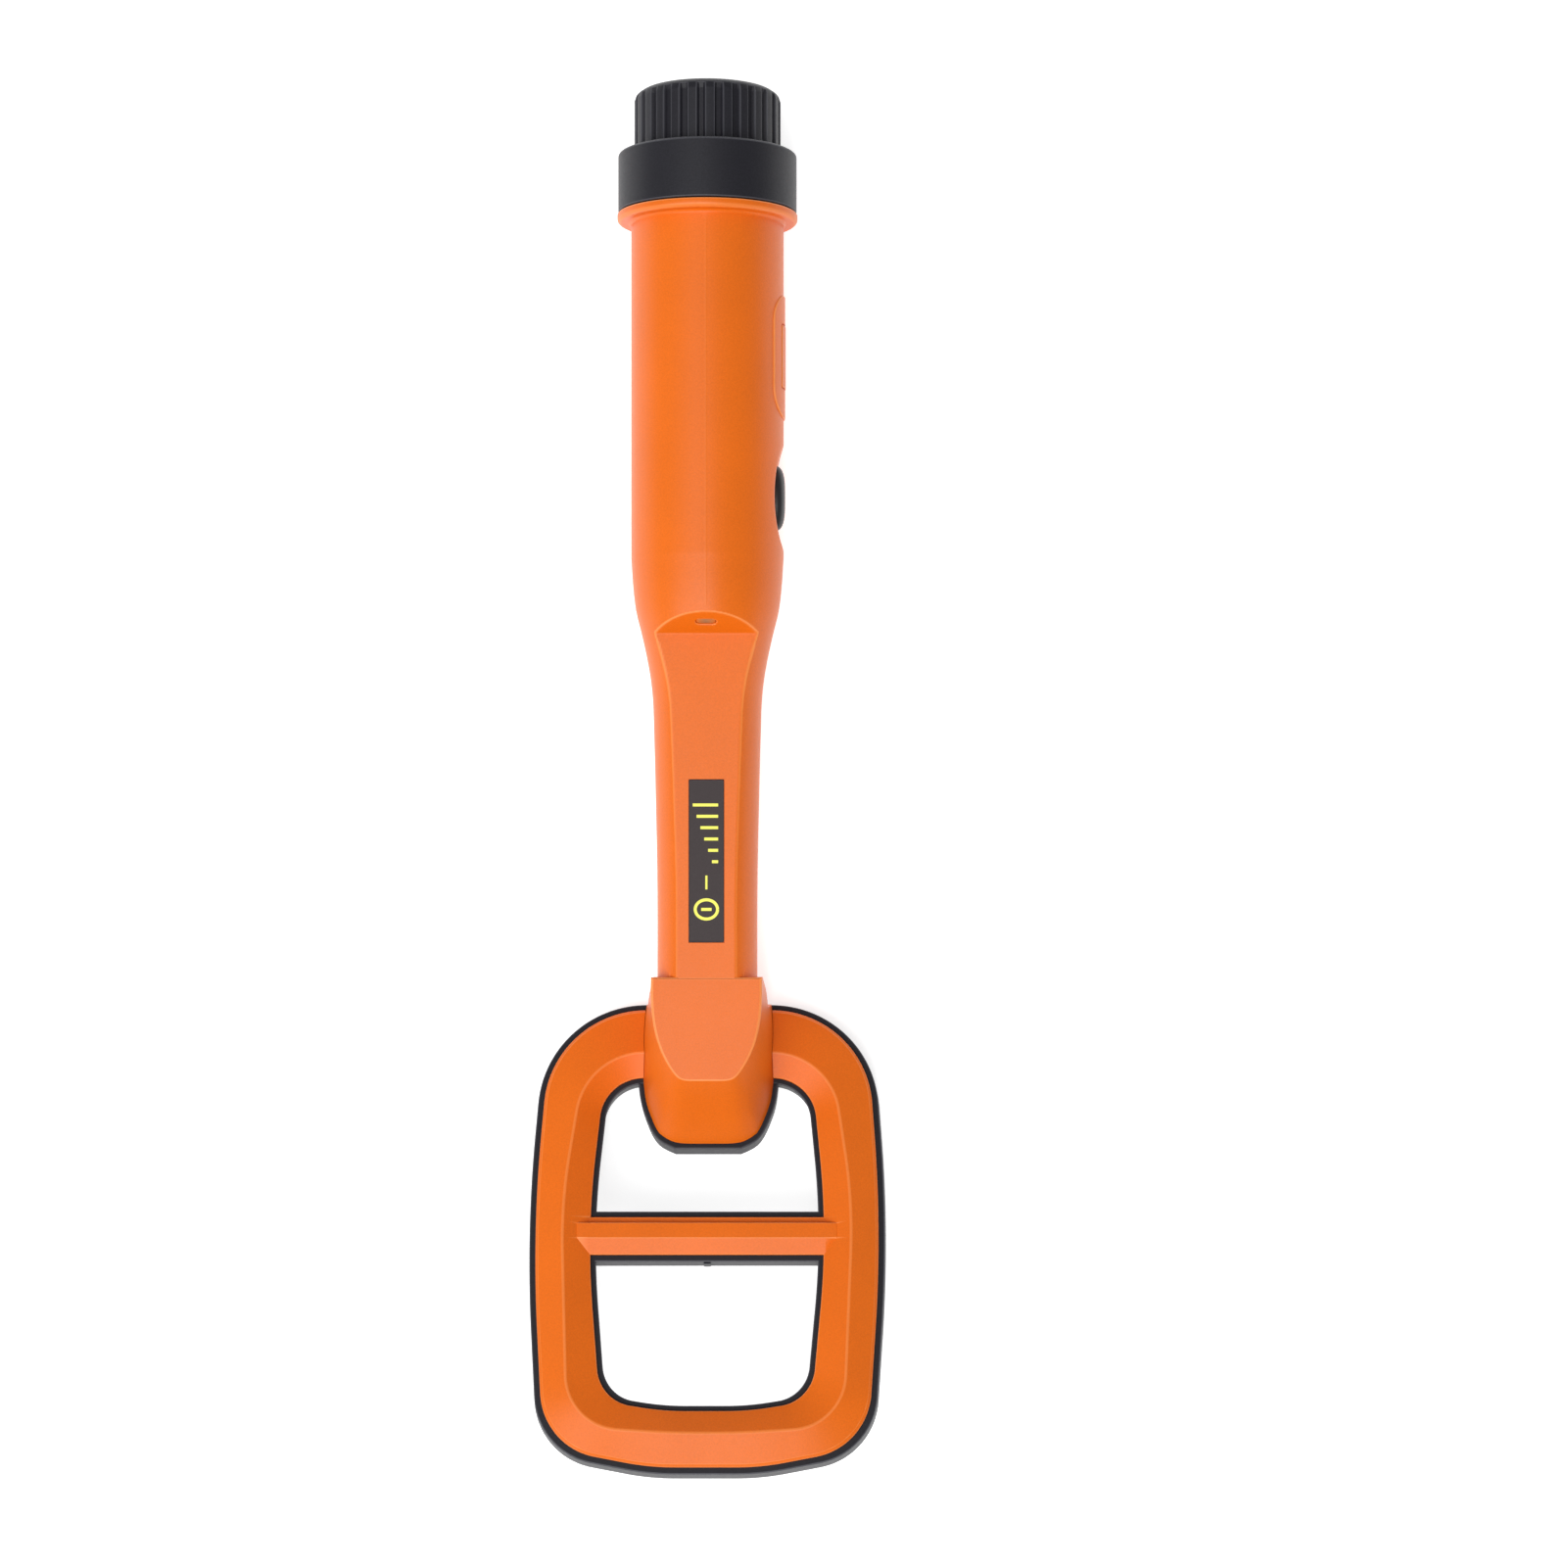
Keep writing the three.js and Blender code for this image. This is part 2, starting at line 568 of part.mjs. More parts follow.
function coilLead() {
  const start = onHead(0, 14, -1.7);
  const route = new THREE.CatmullRomCurve3([
    start,
    new THREE.Vector3(0, start.y + 1, start.z + 4),
    new THREE.Vector3(0, -66, AXIS_Z - 2.5),
    new THREE.Vector3(0, -57, AXIS_Z),
    new THREE.Vector3(0, -52, AXIS_Z),
    new THREE.Vector3(0, -40, AXIS_Z),
    new THREE.Vector3(0, 20, AXIS_Z),
  ]);
  const circle = new THREE.Shape().absarc(0, 0, 1.5, 0, 2 * Math.PI, false);
  const settings = { steps: 24, extrudePath: route, curveSegments: 4, bevelEnabled: false };
  return solidOf(new THREE.ExtrudeGeometry(circle, settings));
}

// ---- battery cap ----

// One turn of the knob's grip as [angle, depth] corners: flat ribs with sunk flutes between.
function knobSection(y, depth) {
  const points = [];
  const pitch = (2 * Math.PI) / KNOB_RIBS;
  for (let rib = 0; rib < KNOB_RIBS; rib++) {
    for (const [part, sunk] of [[0, 0], [0.5, 0], [0.56, 1], [0.94, 1]]) {
      const angle = pitch * (rib + part);
      const radius = KNOB_RADIUS - sunk * depth;
      points.push(new THREE.Vector3(
        radius * Math.sin(angle), y, AXIS_Z + radius * Math.cos(angle)));
    }
  }
  return points;
}

function batteryCap() {
  const crownFrom = CAP_TO - CROWN_HEIGHT;
  const grip = loft([
    knobSection(COLLAR_TO - 1, RIB_DEPTH), knobSection(crownFrom - 0.2, RIB_DEPTH),
  ]);
  const crown = turned([
    [0, crownFrom - 0.4], [KNOB_RADIUS, crownFrom - 0.4], [KNOB_RADIUS, crownFrom],
    [KNOB_RADIUS - 0.5, CAP_TO - 1], [CROWN_RADIUS, CAP_TO], [0, CAP_TO],
  ]);
  const collar = turned([
    [0, CAP_FROM], [COLLAR_RADIUS - 0.4, CAP_FROM], [COLLAR_RADIUS, CAP_FROM + 0.4],
    [COLLAR_RADIUS, COLLAR_TO - 1], [COLLAR_RADIUS - 1, COLLAR_TO], [0, COLLAR_TO],
  ]);
  const bore = turned([
    [0, CAP_FROM - 1], [CAP_BORE_RADIUS, CAP_FROM - 1], [CAP_BORE_RADIUS, SPIGOT_TO + 0.5],
    [KNOB_RADIUS - RIB_DEPTH - CAP_WALL, SPIGOT_TO + 0.5],
    [KNOB_RADIUS - RIB_DEPTH - CAP_WALL, CAP_TO - CAP_WALL], [0, CAP_TO - CAP_WALL],
  ]);
  const thread = helix({
    pitch: THREAD_PITCH,
    from: THREAD_FROM + THREAD_PITCH / 2,
    turns: THREAD_TURNS - 0.5,
    perTurn: ROUND_STEPS / 2,
    section: threadSection(CAP_BORE_RADIUS + 0.3, -THREAD_HEIGHT - 0.2),
    taper: runOut,
  });
  return join(cut(join(collar, grip, crown), bore), thread);
}

// ---- batteries ----

const CELL_ANGLES = [0, 1, 2].map((k) => Math.PI / 2 + (2 * Math.PI * k) / 3);

const aroundAxis = (angle, radius) => [
  radius * Math.cos(angle), AXIS_Z + radius * Math.sin(angle)];

// The second cell stands the other way up, so that the three are in series.
function cell(index) {
  const flipped = index === 1;
  const along = (d) => (flipped ? CELL_FROM + CELL_LENGTH - d : CELL_FROM + d);
  return turned([
    [0, along(0)], [CELL_RADIUS - 0.4, along(0)], [CELL_RADIUS, along(0.4)],
    [CELL_RADIUS, along(48.6)], [CELL_RADIUS - 0.5, along(49.1)], [2.7, along(49.1)],
    [2.7, along(CELL_LENGTH)], [0, along(CELL_LENGTH)],
  ], ...aroundAxis(CELL_ANGLES[index], CELL_CIRCLE), 20);
}

function carrierSpring(index) {
  const [x, z] = aroundAxis(CELL_ANGLES[index], CELL_CIRCLE);
  const wire = 0.35;
  const top = CARRIER_TO - CARRIER_PLATE;
  const low = index === 1 ? CELL_FROM + CELL_LENGTH : CARRIER_FROM + CARRIER_PLATE;
  const high = index === 1 ? top : CELL_FROM;
  const from = low + wire + GAP / 2;
  const climb = high - low - 2 * wire - GAP;
  return helix({
    pitch: climb / 2, from, turns: 2, perTurn: 12, x, z, section: wireSection(3.6, wire),
  });
}

function batteryCarrier() {
  const plates = [CARRIER_FROM, CARRIER_TO - CARRIER_PLATE].map((y) =>
    rod(CARRIER_RADIUS, y, y + CARRIER_PLATE, 0, AXIS_Z, 30));
  const rails = CELL_ANGLES.map((angle) => {
    const length = CARRIER_TO - CARRIER_FROM - 1;
    const bar = new THREE.BoxGeometry(3.6, length, 3).translate(14, 0, 0);
    const middle = (CARRIER_FROM + CARRIER_TO) / 2;
    return solidOf(bar.rotateY(-angle - Math.PI / 3).translate(0, middle, AXIS_Z));
  });
  return join(...plates, ...rails);
}

function bulkhead() {
  const disc = rod(BORE_RADIUS - 0.4, BULKHEAD_Y, BULKHEAD_Y + 3, 0, AXIS_Z, 30);
  const tongueTop = BOARD_Z - BOARD_THICKNESS - GAP;
  const tongue = box([20, 9, 4], [0, BULKHEAD_Y - 4.4, tongueTop - 2]);
  const holes = [-7, 7].map((x) => box([2.2, 2.2, 4.2], [x, BULKHEAD_Y - 4.5, tongueTop - 1]));
  return cut(join(disc, tongue), ...holes);
}

// ---- electronics ----

function mainBoard() {
  const outline = [[13.6, 86], [13.6, 56], [7.5, 42], [6.2, 27]];
  const shape = new THREE.Shape(
    [...outline, ...outline.map(([x, y]) => [-x, y]).reverse()].map((p) => new THREE.Vector2(...p)));
  const settings = { depth: BOARD_THICKNESS, bevelEnabled: false };
  const board = solidOf(new THREE.ExtrudeGeometry(shape, settings)
    .translate(0, 0, BOARD_Z - BOARD_THICKNESS));
  const holes = [-7, 7].map((x) => box([2.4, 2.4, 4], [x, BULKHEAD_Y - 4.5, BOARD_Z]));
  return cut(board, ...holes);
}

// A round-headed screw that stands upright at (x, y), with its head on the board.
function boardScrew(x) {
  const points = [
    [0, -4.2], [0.7, -4.2], [0.8, 0.3], [1.9, 0.3], [1.7, 1.2], [0, 1.6],
  ].map(([r, y]) => new THREE.Vector2(r, y));
  const upright = new THREE.LatheGeometry(points, 12).rotateX(Math.PI / 2);
  return solidOf(upright.translate(x, BULKHEAD_Y - 4.5, BOARD_Z));
}

function transistor() {
  return extrudedAcross([
    [48, BOARD_Z + GAP], [52.5, BOARD_Z + GAP], [52.5, BOARD_Z + 8], [49.4, BOARD_Z + 8],
    [49.4, BOARD_Z + 11.5], [48, BOARD_Z + 11.5],
  ], 5);
}

function motorWeight(y, z) {
  const shape = new THREE.Shape();
  shape.absarc(0, 0, 4.3, Math.PI, 2 * Math.PI, false);
  shape.lineTo(1.2, 0);
  shape.absarc(0, 0, 1.2, 0, Math.PI, false);
  const geometry = new THREE.ExtrudeGeometry(shape, {
    depth: 3.5, bevelEnabled: false, curveSegments: 8,
  });
  return solidOf(geometry.rotateX(Math.PI / 2).translate(0, y, z));
}

const MOTOR_Z = BOARD_Z - BOARD_THICKNESS - 4.9;
const MOTOR_FROM = 60;
const SWITCH_X = 12;

function vibrationMotor() {
  const can = rod(3.5, MOTOR_FROM, MOTOR_FROM + 11, 0, MOTOR_Z);
  const cradle = box([5, 9, 2.2], [0, MOTOR_FROM + 5.5, MOTOR_Z + 3.4]);
  return join(can, cradle);
}

function powerButton() {
  const inner = 14.9;
  const flange = oval(BUTTON_HALF_LENGTH + 1.1, BUTTON_HALF_WIDTH + 0.9, inner, inner + 1);
  const stem = oval(BUTTON_HALF_LENGTH, BUTTON_HALF_WIDTH, inner + 0.5, BUTTON_TOP_X - 1.2);
  const dome = new THREE.SphereGeometry(1, 28, 12)
    .scale(1.2, BUTTON_HALF_LENGTH - 0.02, BUTTON_HALF_WIDTH - 0.02)
    .translate(BUTTON_TOP_X - 1.2, BUTTON_Y, AXIS_Z);
  const post = box([2, 3, 3], [inner - 0.6, BUTTON_Y, AXIS_Z]);
  return join(stem, solidOf(dome), flange, post);
}

// ---- assembly ----

const probe = new THREE.Group();

function add(name, solid, material) {
  const mesh = new THREE.Mesh(geometryOf(solid), material);
  mesh.name = name;
  probe.add(mesh);
}

add("handle_housing", handleHousing(), ORANGE);
add("head_cover", headCover(), ORANGE);
add("head_tray", headTray(), BLACK);
add("coil_winding", coilWinding(), COPPER);
add("coil_former", coilFormer(), CONNECTOR_WHITE);
add("coil_lead", coilLead(), RUBBER);
add("neck_grommet", ring([
  [1.9, -50], [NECK_BORE_RADIUS - GAP, -50], [NECK_BORE_RADIUS - GAP, -44], [1.9, -44],
], 20), RUBBER);

add("label_plate", extrudedAcross([
  [LABEL_Y - LABEL_LENGTH / 2, flatHeight(LABEL_Y - LABEL_LENGTH / 2) - LABEL_DEPTH + GAP],
  [LABEL_Y + LABEL_LENGTH / 2, flatHeight(LABEL_Y + LABEL_LENGTH / 2) - LABEL_DEPTH + GAP],
  [LABEL_Y + LABEL_LENGTH / 2, flatHeight(LABEL_Y + LABEL_LENGTH / 2)],
  [LABEL_Y - LABEL_LENGTH / 2, flatHeight(LABEL_Y - LABEL_LENGTH / 2)],
], LABEL_WIDTH / 2), LABEL);
add("lamp_lens", lampPlug(0, -0.2, 2.2), SMOKED);
add("lamp_led", lampPlug(-0.1, -2.5, 5.5), CLEAR_LAMP);

add("power_button", powerButton(), RUBBER);
add("switch_plunger", box([1.1, 2.8, 2.8], [SWITCH_X + 0.65, BUTTON_Y, AXIS_Z]), CHIP_BLACK);
add("tact_switch", box([2.3, 6, 6], [SWITCH_X - 1.95, BUTTON_Y, AXIS_Z]), STEEL);
add("switch_board", box([1.2, 14, 9.4], [SWITCH_X - 4, BUTTON_Y, AXIS_Z + 2.2]), BOARD_GREEN);

add("main_board", mainBoard(), BOARD_GREEN);
add("processor_chip", box([10, 10, 1.6], [-3, 64, BOARD_Z + GAP + 0.8]), CHIP_BLACK);
add("pulse_transistor", transistor(), CHIP_BLACK);
add("capacitor_1", rod(3.1, 59, 70, -11, BOARD_Z + 3.5), CAPACITOR_BLUE);
add("capacitor_2", rod(3.1, 72, 83, -11, BOARD_Z + 3.5), CAPACITOR_BLUE);
add("buzzer", solidOf(new THREE.CylinderGeometry(5.2, 5.2, 6, 20)
  .rotateX(Math.PI / 2).translate(0.5, 77, BOARD_Z + GAP + 3)), CHIP_BLACK);
add("lead_connector", box([7, 5.5, 5], [0, 23.5, AXIS_Z - 0.2]), CONNECTOR_WHITE);
add("vibration_motor", vibrationMotor(), STEEL);
add("motor_shaft", rod(0.75, MOTOR_FROM - 5, MOTOR_FROM - GAP, 0, MOTOR_Z, 8), STEEL);
add("motor_weight", motorWeight(MOTOR_FROM - 1, MOTOR_Z)
  .subtract(rod(0.75 + GAP, MOTOR_FROM - 6, MOTOR_FROM, 0, MOTOR_Z, 8)), BRASS);
add("board_screw_1", boardScrew(-7), STEEL);
add("board_screw_2", boardScrew(7), STEEL);

const contactFace = BULKHEAD_Y + 3 + GAP;
add("bulkhead", bulkhead(), BLACK);
add("bulkhead_pad", rod(4, contactFace, contactFace + 0.6), BRASS);
add("bulkhead_ring", ring([
  [9, contactFace], [12, contactFace], [12, contactFace + 0.6], [9, contactFace + 0.6],
], 30), BRASS);

add("battery_carrier", batteryCarrier(), BLACK);
for (let index = 0; index < CELL_ANGLES.length; index++) {
  add(`cell_${index + 1}`, cell(index), CELL_SLEEVE);
  add(`carrier_spring_${index + 1}`, carrierSpring(index), STEEL);
}
const carrierPad = CARRIER_TO + GAP;
add("carrier_pad", rod(5, carrierPad, carrierPad + 0.6), BRASS);

add("battery_cap", batteryCap(), BLACK);
add("cap_o_ring", ring([0, 1, 2, 3, 4, 5].map((k) => [
  20.35 + 0.55 * Math.cos((Math.PI * k) / 3), 149.6 + 0.55 * Math.sin((Math.PI * k) / 3),
])), RUBBER);
const discFace = carrierPad + 0.6 + GAP;
add("cap_contact_disc", rod(8, discFace, discFace + 0.8), BRASS);
const springFrom = discFace + 0.8 + GAP + 0.5;
const springTo = CAP_TO - CAP_WALL - GAP - 0.5;
add("cap_contact_spring", helix({
  pitch: (springTo - springFrom) / 4,
  from: springFrom,
  turns: 4,
  perTurn: 12,
  section: wireSection(6, 0.5),
}), STEEL);

// The origin goes under the middle of the whole length.
const span = new THREE.Box3().setFromObject(probe);
probe.position.y = -(span.min.y + span.max.y) / 2;

export default probe;
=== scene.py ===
"""Looks of the loop-headed pinpointer probe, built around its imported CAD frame.

Shapes are worked out in millimetres, in the part's own coordinates before its length was centred:
y runs along the handle, z up, and the handle's axis is at z = AXIS_Z. The head has a flat frame of
its own, tilted about X: u across, v down the head from its heel, h up from the lip plane.
"""

import json
import math

import bmesh
import bpy
import numpy as np
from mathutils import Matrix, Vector


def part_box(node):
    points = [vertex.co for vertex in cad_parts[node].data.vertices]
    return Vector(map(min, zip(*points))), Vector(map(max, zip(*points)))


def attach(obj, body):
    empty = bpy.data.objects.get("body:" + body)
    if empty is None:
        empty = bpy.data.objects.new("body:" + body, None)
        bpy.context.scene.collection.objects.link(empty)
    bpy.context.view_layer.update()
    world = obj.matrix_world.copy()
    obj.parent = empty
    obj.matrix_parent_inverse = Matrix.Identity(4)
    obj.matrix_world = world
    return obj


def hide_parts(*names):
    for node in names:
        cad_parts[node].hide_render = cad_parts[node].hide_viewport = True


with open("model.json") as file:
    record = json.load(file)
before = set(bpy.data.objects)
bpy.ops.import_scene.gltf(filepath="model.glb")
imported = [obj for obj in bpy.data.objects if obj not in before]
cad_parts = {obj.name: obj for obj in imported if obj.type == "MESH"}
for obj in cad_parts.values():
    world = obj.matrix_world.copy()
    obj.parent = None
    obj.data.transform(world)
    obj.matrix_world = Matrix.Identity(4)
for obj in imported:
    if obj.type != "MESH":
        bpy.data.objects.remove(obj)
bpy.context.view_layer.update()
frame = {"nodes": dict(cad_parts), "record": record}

# ---- driving dimensions, in millimetres ----

MM = 0.001
SEAM = 0.12  # gap drawn where two mouldings meet
AXIS_Z = 23.75
TUBE_RADIUS = 20.1
BORE_RADIUS = 17.3
NECK_BORE_RADIUS = 8.5
FLANGE_RADIUS = 23.75
FLANGE_FROM = 146.1
FLANGE_TO = 148.5
SHAPED_TO = 144  # the tube's side is plain from here to the flange
SPIGOT_TO = 161.5
SPIGOT_RADIUS = 19.5
TAPER = [
    (-64, 13.2), (-30, 13.2), (-5, 13.65), (13, 14.1), (20, 14.35), (26, 14.95), (32, 16),
    (38, 17.35), (44, 18.8), (50, 19.55), (58, TUBE_RADIUS),
]
FLAT_Z = 10.7
FLAT_RISE = 0.002
STEP_FOOT_Y = 37.8
STEP_SLOPE = 1.52
SHOULDER_Y = -51.8
BOSS_COLLAR_RADIUS = 16.6
BOSS_HALF_WIDTH = 14.45
BOSS_NOSE_Y = -78.6
NECK_FLAT_HALF = 7.1

HEAD_TILT = math.radians(18)
HEEL_Y = -61
TRAY_HEIGHT = 8
TRAY_FLARE = 0.6
FOOT_CHAMFER = 0.8
HEEL_Z = TRAY_HEIGHT * math.cos(HEAD_TILT) - (FOOT_CHAMFER - TRAY_FLARE) * math.sin(HEAD_TILT)
HEEL_BAR_HEIGHT = 0.6
HEEL_BAR_HALF = 16
HEEL_BAR_WIDTH = 2
HEEL_BAR_TOP = 1.6  # buried in the foot
LIP_WIDTH = 1.7
INNER_LIP = 1.5
INNER_DRAFT = 0.8
COVER_WALL = 1.6
TRAY_FLOOR = 2
TRAY_WALLS = (2, 2.7)  # outside and inside the coil's channel, from the rims they show
RIDGE_HEIGHT = 4.6
RIM = [(43.6, 0, 28.5), (47.6, 61.4, 365), (43.3, 117.9, 29.2), (14.4, 123.3, 70)]
RIDGE = [(32.4, 14.1, 18), (38.2, 54, 140), (35.5, 111.7, 21.7), (8.6, 113.3, 200)]
WINDOW = [(27.7, 20.2, 11.5), (31.6, 61.4, 300), (27.4, 104.9, 12.6), (10.9, 107.5, 75)]
BAR_FROM = 57.5
BAR_TO = 67.3
BAR_HEIGHT = 3

BUTTON_Y = 73.8
BUTTON_HALF_LENGTH = 8.5
BUTTON_HALF_WIDTH = 5
BUTTON_TOP_X = 20.5
DISH_DEPTH = 2.5
DISH_SEMI = (6, 16.8, 40)
PAD_Y = 110.6
PAD_HALF = (16.1, 10.2)
PAD_CORNER = 7.5
PAD_HEIGHT = 0.4
PANEL_HEIGHT = 0.55
PANEL_HALF = (8.15, 5.8)
LABEL_Y = -21.5
LABEL_LENGTH = 42.3
LABEL_WIDTH = 9.1
LABEL_DEPTH = 0.7
LAMP_Y = 40.4
LAMP_LENGTH = 5.1
LAMP_WIDTH = 2

CAP_FROM = 148.8
COLLAR_RADIUS = 23.5
COLLAR_TO = 164.2
CAP_TO = 180.4
KNOB_RADIUS = 19.3
CROWN_HEIGHT = 2.8
CROWN_RADIUS = 17.3
KNOB_RIBS = 26
RIB_DEPTH = 0.9
CAP_BORE_RADIUS = 21.2
CAP_WALL = 2.8
THREAD_PITCH = 3
THREAD_HEIGHT = 1.2
THREAD_FROM = 152
THREAD_TURNS = 2.5

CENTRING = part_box("battery_cap")[1].y / MM - CAP_TO  # the part was slid along Y by this much


# ---- meshes ----

def piece(name, points, faces):
    """A mesh object from points in millimetres, with its faces turned outwards."""
    world = (np.asarray(points, float) + (0, CENTRING, 0)) * MM
    mesh = bpy.data.meshes.new(name)
    mesh.from_pydata(world.tolist(), [], faces)
    work = bmesh.new()
    work.from_mesh(mesh)
    bmesh.ops.remove_doubles(work, verts=work.verts, dist=1e-7)
    bmesh.ops.dissolve_degenerate(work, edges=work.edges, dist=1e-7)
    bmesh.ops.recalc_face_normals(work, faces=work.faces)
    work.to_mesh(mesh)
    work.free()
    obj = bpy.data.objects.new(name, mesh)
    bpy.context.scene.collection.objects.link(obj)
    return obj


def skin(name, rows, closed=False, halves=False):
    """A closed skin through rows of equal point counts. It closes on itself, or gets two flat ends.

    Where a row is one half and then its mirror image, the ends are strips from half to half.
    """
    rows = np.asarray(rows, float)
    count, across = rows.shape[:2]
    faces = []
    for r in range(count if closed else count - 1):
        here, there = r * across, ((r + 1) % count) * across
        for k in range(across):
            after = (k + 1) % across
            faces.append((here + k, there + k, there + after, here + after))
    for start in () if closed else (0, (count - 1) * across):
        if halves:
            last = start + across - 1
            faces += [(start + k, start + k + 1, last - k - 1, last - k)
                      for k in range(across // 2 - 1)]
        else:
            faces.append(tuple(range(start, start + across)))
    return piece(name, rows.reshape(-1, 3), faces)


def settle(obj):
    """Makes what the object's modifiers give its own mesh."""
    bpy.context.view_layer.update()
    graph = bpy.context.evaluated_depsgraph_get()
    made = bpy.data.meshes.new_from_object(obj.evaluated_get(graph))
    old = obj.data
    obj.modifiers.clear()
    obj.data = made
    bpy.data.meshes.remove(old)


def combine(obj, tool, operation):
    modifier = obj.modifiers.new(operation, "BOOLEAN")
    modifier.operation = operation
    modifier.solver = "MANIFOLD"
    modifier.object = tool
    settle(obj)
    mesh = tool.data
    bpy.data.objects.remove(tool)
    bpy.data.meshes.remove(mesh)


def join(obj, *tools):
    for tool in tools:
        combine(obj, tool, "UNION")
    return obj


def cut(obj, *tools):
    for tool in tools:
        combine(obj, tool, "DIFFERENCE")
    return obj


# Painted highlight: narrow outward fillets are lightened in the colour, standing in for light
# caught on the edges.
PAINTED_EDGE_HIGHLIGHT = "painted_edge_highlight"
HIGHLIGHT_WIDTH = 0.6  # widest fillet strip that still gets the painted highlight
HIGHLIGHT_BENDS = (0.55, 1.3)  # bend in radians per mm, from no painted highlight to full painted highlight


def mark_painted_highlights(obj):
    """Marks the points on narrow outward fillets that get a painted highlight, a lighter colour
    standing in for light caught on the edge.
    """
    bm = bmesh.new()
    bm.from_mesh(obj.data)
    bends = np.zeros(len(bm.verts))
    for edge in bm.edges:
        if len(edge.link_faces) != 2 or not edge.is_convex:
            continue
        length = edge.calc_length()
        widths = [face.calc_area() / max(length, 1e-9) for face in edge.link_faces]
        if max(widths) > HIGHLIGHT_WIDTH * MM:
            continue
        bend = edge.calc_face_angle(0) / max(sum(widths) / 2, 0.02 * MM) * MM
        for vert in edge.verts:
            bends[vert.index] = max(bends[vert.index], bend)
    bm.free()
    least, most = HIGHLIGHT_BENDS
    layer = obj.data.attributes.new(PAINTED_EDGE_HIGHLIGHT, "FLOAT", "POINT")
    layer.data.foreach_set("value", np.clip((bends - least) / (most - least), 0, 1))


def smooth(obj, degrees=32, weighted=True):
    obj.data.shade_smooth()
    obj.data.set_sharp_from_angle(angle=math.radians(degrees))
    if weighted:
        modifier = obj.modifiers.new("even_normals", "WEIGHTED_NORMAL")
        modifier.keep_sharp = True
        modifier.weight = 60
        settle(obj)


# ---- lines ----

def catmull_rom(points, per_span):
    """A smooth line through the points, the same on each run."""
    p = np.asarray(points, float)
    padded = np.vstack([2 * p[0] - p[1], p, 2 * p[-1] - p[-2]])
    line = []
    for s in range(len(p) - 1):
        a, b, c, d = padded[s:s + 4]
        for t in np.arange(per_span) / per_span:
            line.append(0.5 * (2 * b + (c - a) * t + (2 * a - 5 * b + 4 * c - d) * t ** 2
                               + (3 * b - a - 3 * c + d) * t ** 3))
    return np.array([*line, p[-1]])


def evenly(line, count):
    """The same open line, as count points at even distances along it."""
    line = np.asarray(line, float)
    run = np.concatenate([[0], np.cumsum(np.linalg.norm(np.diff(line, axis=0), axis=1))])
    wanted = np.linspace(0, run[-1], count)
    return np.stack([np.interp(wanted, run, line[:, k]) for k in range(line.shape[1])], 1)


def soften(before, corner, after, radius, steps=4):
    """Points of a fillet at a corner. Each argument may be one point or a row of points."""
    before, corner, after = (np.asarray(p, float) for p in (before, corner, after))
    to_before, to_after = before - corner, after - corner
    size_before = np.linalg.norm(to_before, axis=-1, keepdims=True)
    size_after = np.linalg.norm(to_after, axis=-1, keepdims=True)
    to_before, to_after = to_before / size_before, to_after / size_after
    cosine = np.clip((to_before * to_after).sum(-1, keepdims=True), -0.9999, 0.9999)
    half = np.arccos(cosine) / 2
    tangent = np.minimum(radius / np.tan(half), 0.48 * np.minimum(size_before, size_after))
    reach = tangent / np.cos(half)
    bisector = to_before + to_after
    bisector /= np.maximum(np.linalg.norm(bisector, axis=-1, keepdims=True), 1e-9)
    centre = corner + bisector * reach
    first, last = corner + to_before * tangent - centre, corner + to_after * tangent - centre
    turn = np.pi - 2 * half
    points = []
    for k in range(steps + 1):
        share = k / steps
        points.append(centre + (np.sin((1 - share) * turn) * first + np.sin(share * turn) * last)
                      / np.sin(turn))
    return points


def rounded_path(corners, steps=4, closed=False):
    """A polyline with each [a, b, radius] corner rounded. The ends of an open one stay sharp."""
    points = [np.array(c[:2], float) for c in corners]
    count = len(points)
    line = []
    for k, corner in enumerate(corners):
        at_end = not closed and k in (0, count - 1)
        if at_end or len(corner) < 3 or not corner[2]:
            line.append(points[k])
        else:
            line += soften(points[k - 1], points[k], points[(k + 1) % count], corner[2], steps)
    return np.array(line)


def refined(line, longest, closed=False):
    """The same polyline, with no span longer than asked."""
    line = np.asarray(line, float)
    ends = np.vstack([line[1:], line[:1]]) if closed else line[1:]
    out = []
    for a, b in zip(line if closed else line[:-1], ends):
        parts = max(1, math.ceil(np.linalg.norm(b - a) / longest))
        out += [a + (b - a) * s / parts for s in range(parts)]
    return np.array(out if closed else [*out, line[-1]])


# ---- turned shapes ----

def around(path, angles, radius_at=None):
    """Rows for a shape turned about the handle's axis, from [y, radius] points."""
    path = np.asarray(path, float)
    y = np.repeat(path[:, :1], len(angles), 1)
    radius = np.repeat(path[:, 1:2], len(angles), 1)
    if radius_at:
        radius = radius_at(y, radius, angles[None, :])
    return np.stack([radius * np.sin(angles), y, AXIS_Z + radius * np.cos(angles)], -1)


def even_angles(count):
    return np.arange(count) * 2 * math.pi / count


def rod(name, radius, start, end, sides=64):
    """A round bar on the handle's axis."""
    ring = np.stack([radius * np.sin(even_angles(sides)), np.zeros(sides),
                     AXIS_Z + radius * np.cos(even_angles(sides))], -1)
    return skin(name, [ring + (0, start, 0), ring + (0, end, 0)])


def across_block(name, yz, half):
    """A [y, z] outline drawn through from x = -half to x = half."""
    return skin(name, [[(x, y, z) for y, z in yz] for x in (-half, half)])


